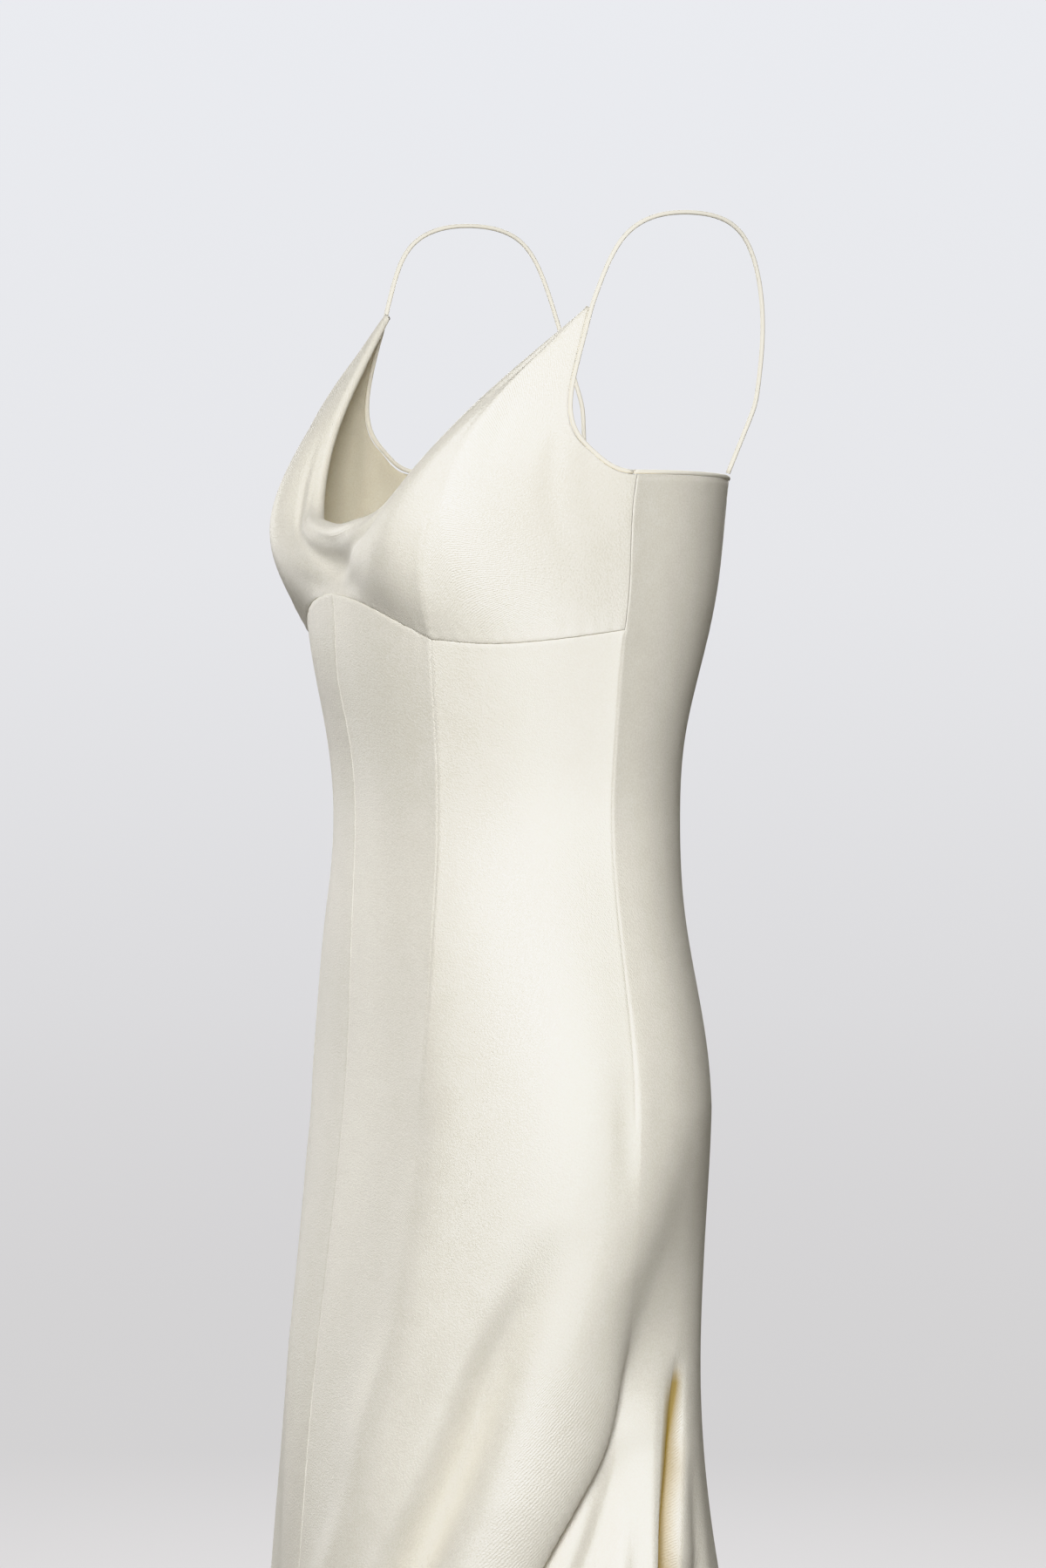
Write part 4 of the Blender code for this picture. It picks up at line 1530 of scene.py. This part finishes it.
# points of the left strap above the bodice, from the front to the back
SHOULDER = (
    (0.1125, -0.0615, -0.035),
    (0.1150, -0.0490, -0.015),
    (0.1160, -0.0270, -0.003),
    (0.1160, 0.0000, 0.000),
    (0.1155, 0.0240, -0.003),
    (0.1140, 0.0430, -0.015),
    (0.1110, 0.0560, -0.042),
    (0.1060, 0.0630, -0.077),
    (0.0980, 0.0660, -0.115),
)
FOLDS = (
    # soft edge where the front of the thigh turns to its side, with a hollow in front of it
    Fold(7.0, 12.0, (
        Stop(-0.30, 41, 0), Stop(-0.40, 42, -1.4), Stop(-0.50, 42, -2.8), Stop(-0.56, 42, -4.0),
        Stop(-0.62, 38.5, -4.8), Stop(-0.674, 36, -5.4), Stop(-0.728, 28, -5.8), Stop(-0.782, 23.5, -6.2),
        Stop(-0.825, 16, -6.6), Stop(-1.1, 12, -2), Stop(HEM_Z, 10, 3),
    )),
    Fold(9.0, 9.0, (
        Stop(-0.60, 20, 0), Stop(-0.70, 12, 1.6), Stop(-0.82, 1, 3.0), Stop(-1.1, 4, 5),
        Stop(HEM_Z, 8, 9),
    )),
    # the drape that starts over the hip and runs down to the front
    Fold(5.4, 6.2, (
        Stop(-0.605, 72, 0), Stop(-0.64, 67, 4.0), Stop(-0.679, 60.5, 11.0), Stop(-0.73, 53.5, 19),
        Stop(-0.782, 45.0, 24), Stop(-0.825, 37, 26), Stop(-1.0, 31, 21), Stop(HEM_Z, 28, 25),
    )),
    Fold(4.5, 4.5, (
        Stop(-0.775, 58, 0), Stop(-0.80, 55, 2.0), Stop(-0.84, 49, 4.5), Stop(-1.0, 44, 5),
        Stop(HEM_Z, 41, 5),
    )),
    # the long drape below the side dart, which sharpens into an overlap
    Fold(9.5, 19.0, (
        Stop(-0.545, 112, 0), Stop(-0.58, 108.5, 4.0), Stop(-0.62, 104, 9.5), Stop(-0.674, 96, 16),
        Stop(-0.728, 86.5, 22), Stop(-0.782, 74, 25), Stop(-0.825, 64, 26), Stop(-1.0, 58, 22),
        Stop(HEM_Z, 52, 26),
    ), lean=13.0, lean_from=-0.64),
    Fold(4.0, 8.0, (
        Stop(-0.735, 96, 0), Stop(-0.765, 91, 6.0), Stop(-0.79, 87.5, 9.5), Stop(-0.83, 80.5, 12),
        Stop(-1.0, 78, 13), Stop(HEM_Z, 76, 20),
    )),
    Fold(2.2, 2.8, (
        Stop(-0.765, 97, 0), Stop(-0.80, 95, 3.4), Stop(-0.83, 93, 5.6), Stop(-1.0, 91, 5),
        Stop(HEM_Z, 90, 4),
    )),
    # the deep, narrow gap beside the back drapes, with painted shade and glow inside it
    Fold(2.0, 2.0, (
        Stop(-0.690, 109.8, 0), Stop(-0.726, 107.8, 6), Stop(-0.755, 105.9, 12), Stop(-0.782, 103.8, 16),
        Stop(-0.835, 101, 24), Stop(-1.1, 100.5, 17), Stop(HEM_Z, 102.5, 11),
    ), lean=0.6, lean_from=-0.68, power=3.0, flare=1.7, has_painted_light=True),
    Fold(7.0, 10.0, (
        Stop(-0.81, 109, 0), Stop(-0.85, 109, 5), Stop(-0.95, 108, 19), Stop(-1.1, 108, 31),
        Stop(HEM_Z, 108, 43),
    )),
    Fold(2.5, 3.0, (
        Stop(-0.75, 113, 0), Stop(-0.79, 113.5, 3.0), Stop(-0.835, 114, 6), Stop(-1.0, 116, 6),
        Stop(HEM_Z, 119, 6),
    ), flare=2.0),
    Fold(8.0, 10.0, (
        Stop(-0.735, 146, 0), Stop(-0.80, 146, 7), Stop(-0.9, 146, 14), Stop(-1.1, 145, 24),
        Stop(HEM_Z, 143, 38),
    )),
    Fold(9.0, 8.0, (
        Stop(-0.775, 176, 0), Stop(-0.85, 177, 11), Stop(-1.0, 178, 18), Stop(-1.2, 178, 27),
        Stop(HEM_Z, 176, 36),
    )),
    # the right-hand side, with folds much like those of the left
    Fold(9.0, 10.0, (
        Stop(-0.755, -152, 0), Stop(-0.82, -150, 10), Stop(-1.0, -147, 20), Stop(-1.2, -147, 30),
        Stop(HEM_Z, -146, 40),
    ), lean=3.0, lean_from=-0.85),
    Fold(7.0, 8.0, (
        Stop(-0.80, -130, 0), Stop(-0.9, -129, 9), Stop(-1.1, -128, 16), Stop(HEM_Z, -127, 28),
    )),
    Fold(9.0, 8.0, (
        Stop(-0.655, -119, 0), Stop(-0.74, -114, 10), Stop(-0.84, -112, 18), Stop(-1.1, -111, 28),
        Stop(HEM_Z, -110, 36),
    )),
    Fold(10.0, 8.5, (
        Stop(-0.595, -94, 0), Stop(-0.68, -88, 4), Stop(-0.76, -82, 7), Stop(-0.85, -78, 10),
        Stop(-1.1, -77, 18), Stop(HEM_Z, -76, 27),
    )),
    Fold(6.0, 6.0, (
        Stop(-0.82, -62, 0), Stop(-1.0, -61, 8), Stop(-1.2, -60, 13), Stop(HEM_Z, -59, 20),
    )),
    Fold(10.0, 8.5, (
        Stop(-0.635, -63, 0), Stop(-0.70, -56, 3.5), Stop(-0.78, -49, 6.5), Stop(-0.86, -44, 9),
        Stop(-1.1, -41, 17), Stop(HEM_Z, -40, 27),
    )),
    Fold(9.0, 9.0, (
        Stop(-0.695, -31, 0), Stop(-0.80, -22, 3), Stop(-0.95, -17, 7), Stop(-1.2, -14, 12),
        Stop(HEM_Z, -13, 18),
    )),
)


IVORY_SATIN = SatinFinish("ivory_satin", (0.915, 0.872, 0.765), (0.83, 0.783, 0.665))
# The wrong side's rougher finish is real; its darker, warmer colour is painted shade for the cloth's inner
# surfaces.
PAINTED_SHADE_WRONG_SIDE = SatinFinish("satin_wrong_side_painted_shade", (0.85, 0.79, 0.63), (0.80, 0.73, 0.56), roughness=0.6)
ROULEAU_SATIN = SatinFinish(
    "rouleau_satin",
    (0.89, 0.85, 0.745),
    (0.875, 0.83, 0.72),
    roughness=0.5,
    relief=0.04,
    ior=1.3,
)


def dress(
    piece: bpy.types.Object,
    nodes: Sequence[str],
    finishes: Sequence[bpy.types.Material],
) -> None:
    """Give a piece its finish, attach it to the body and hide the CAD nodes that it replaces.

    Args:
        piece: The finished piece.
        nodes: CAD nodes that it replaces.
        finishes: Its materials, outside first.
    """
    for finish in finishes:
        piece.data.materials.append(finish)
    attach(piece, BODY)
    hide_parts(*nodes)
    LOG.info("%s: %d faces", piece.name, len(piece.data.polygons))


def main() -> None:
    """Build the dress and its studio."""
    logging.basicConfig(level=logging.INFO, format="%(message)s")
    form = DressForm(LEVELS, UNDERBUST, FoldSet(FOLDS))
    cups = CupForm(form, NECK, ARMHOLE)
    right_side = IVORY_SATIN.material()
    shaded_wrong_side = PAINTED_SHADE_WRONG_SIDE.material()
    cord = ROULEAU_SATIN.material()
    bodice = BodiceFront(cups).build()
    dress(bodice, ["bodice_front"], (right_side, shaded_wrong_side))
    for side in Side:
        panel = HalfPanel(form, side).build()
        dress(panel, [f"panel_{side.name.lower()}"], (right_side, shaded_wrong_side))
    cords = Rouleaux(cups, SHOULDER)
    for side in Side:
        strap = cords.strap(side)
        dress(strap, [f"strap_{side.name.lower()}"], (cord,))
    back = cords.back()
    dress(back, ["back_binding"], (cord,))
    Studio().build()
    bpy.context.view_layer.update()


if __name__ == "__main__":
    main()
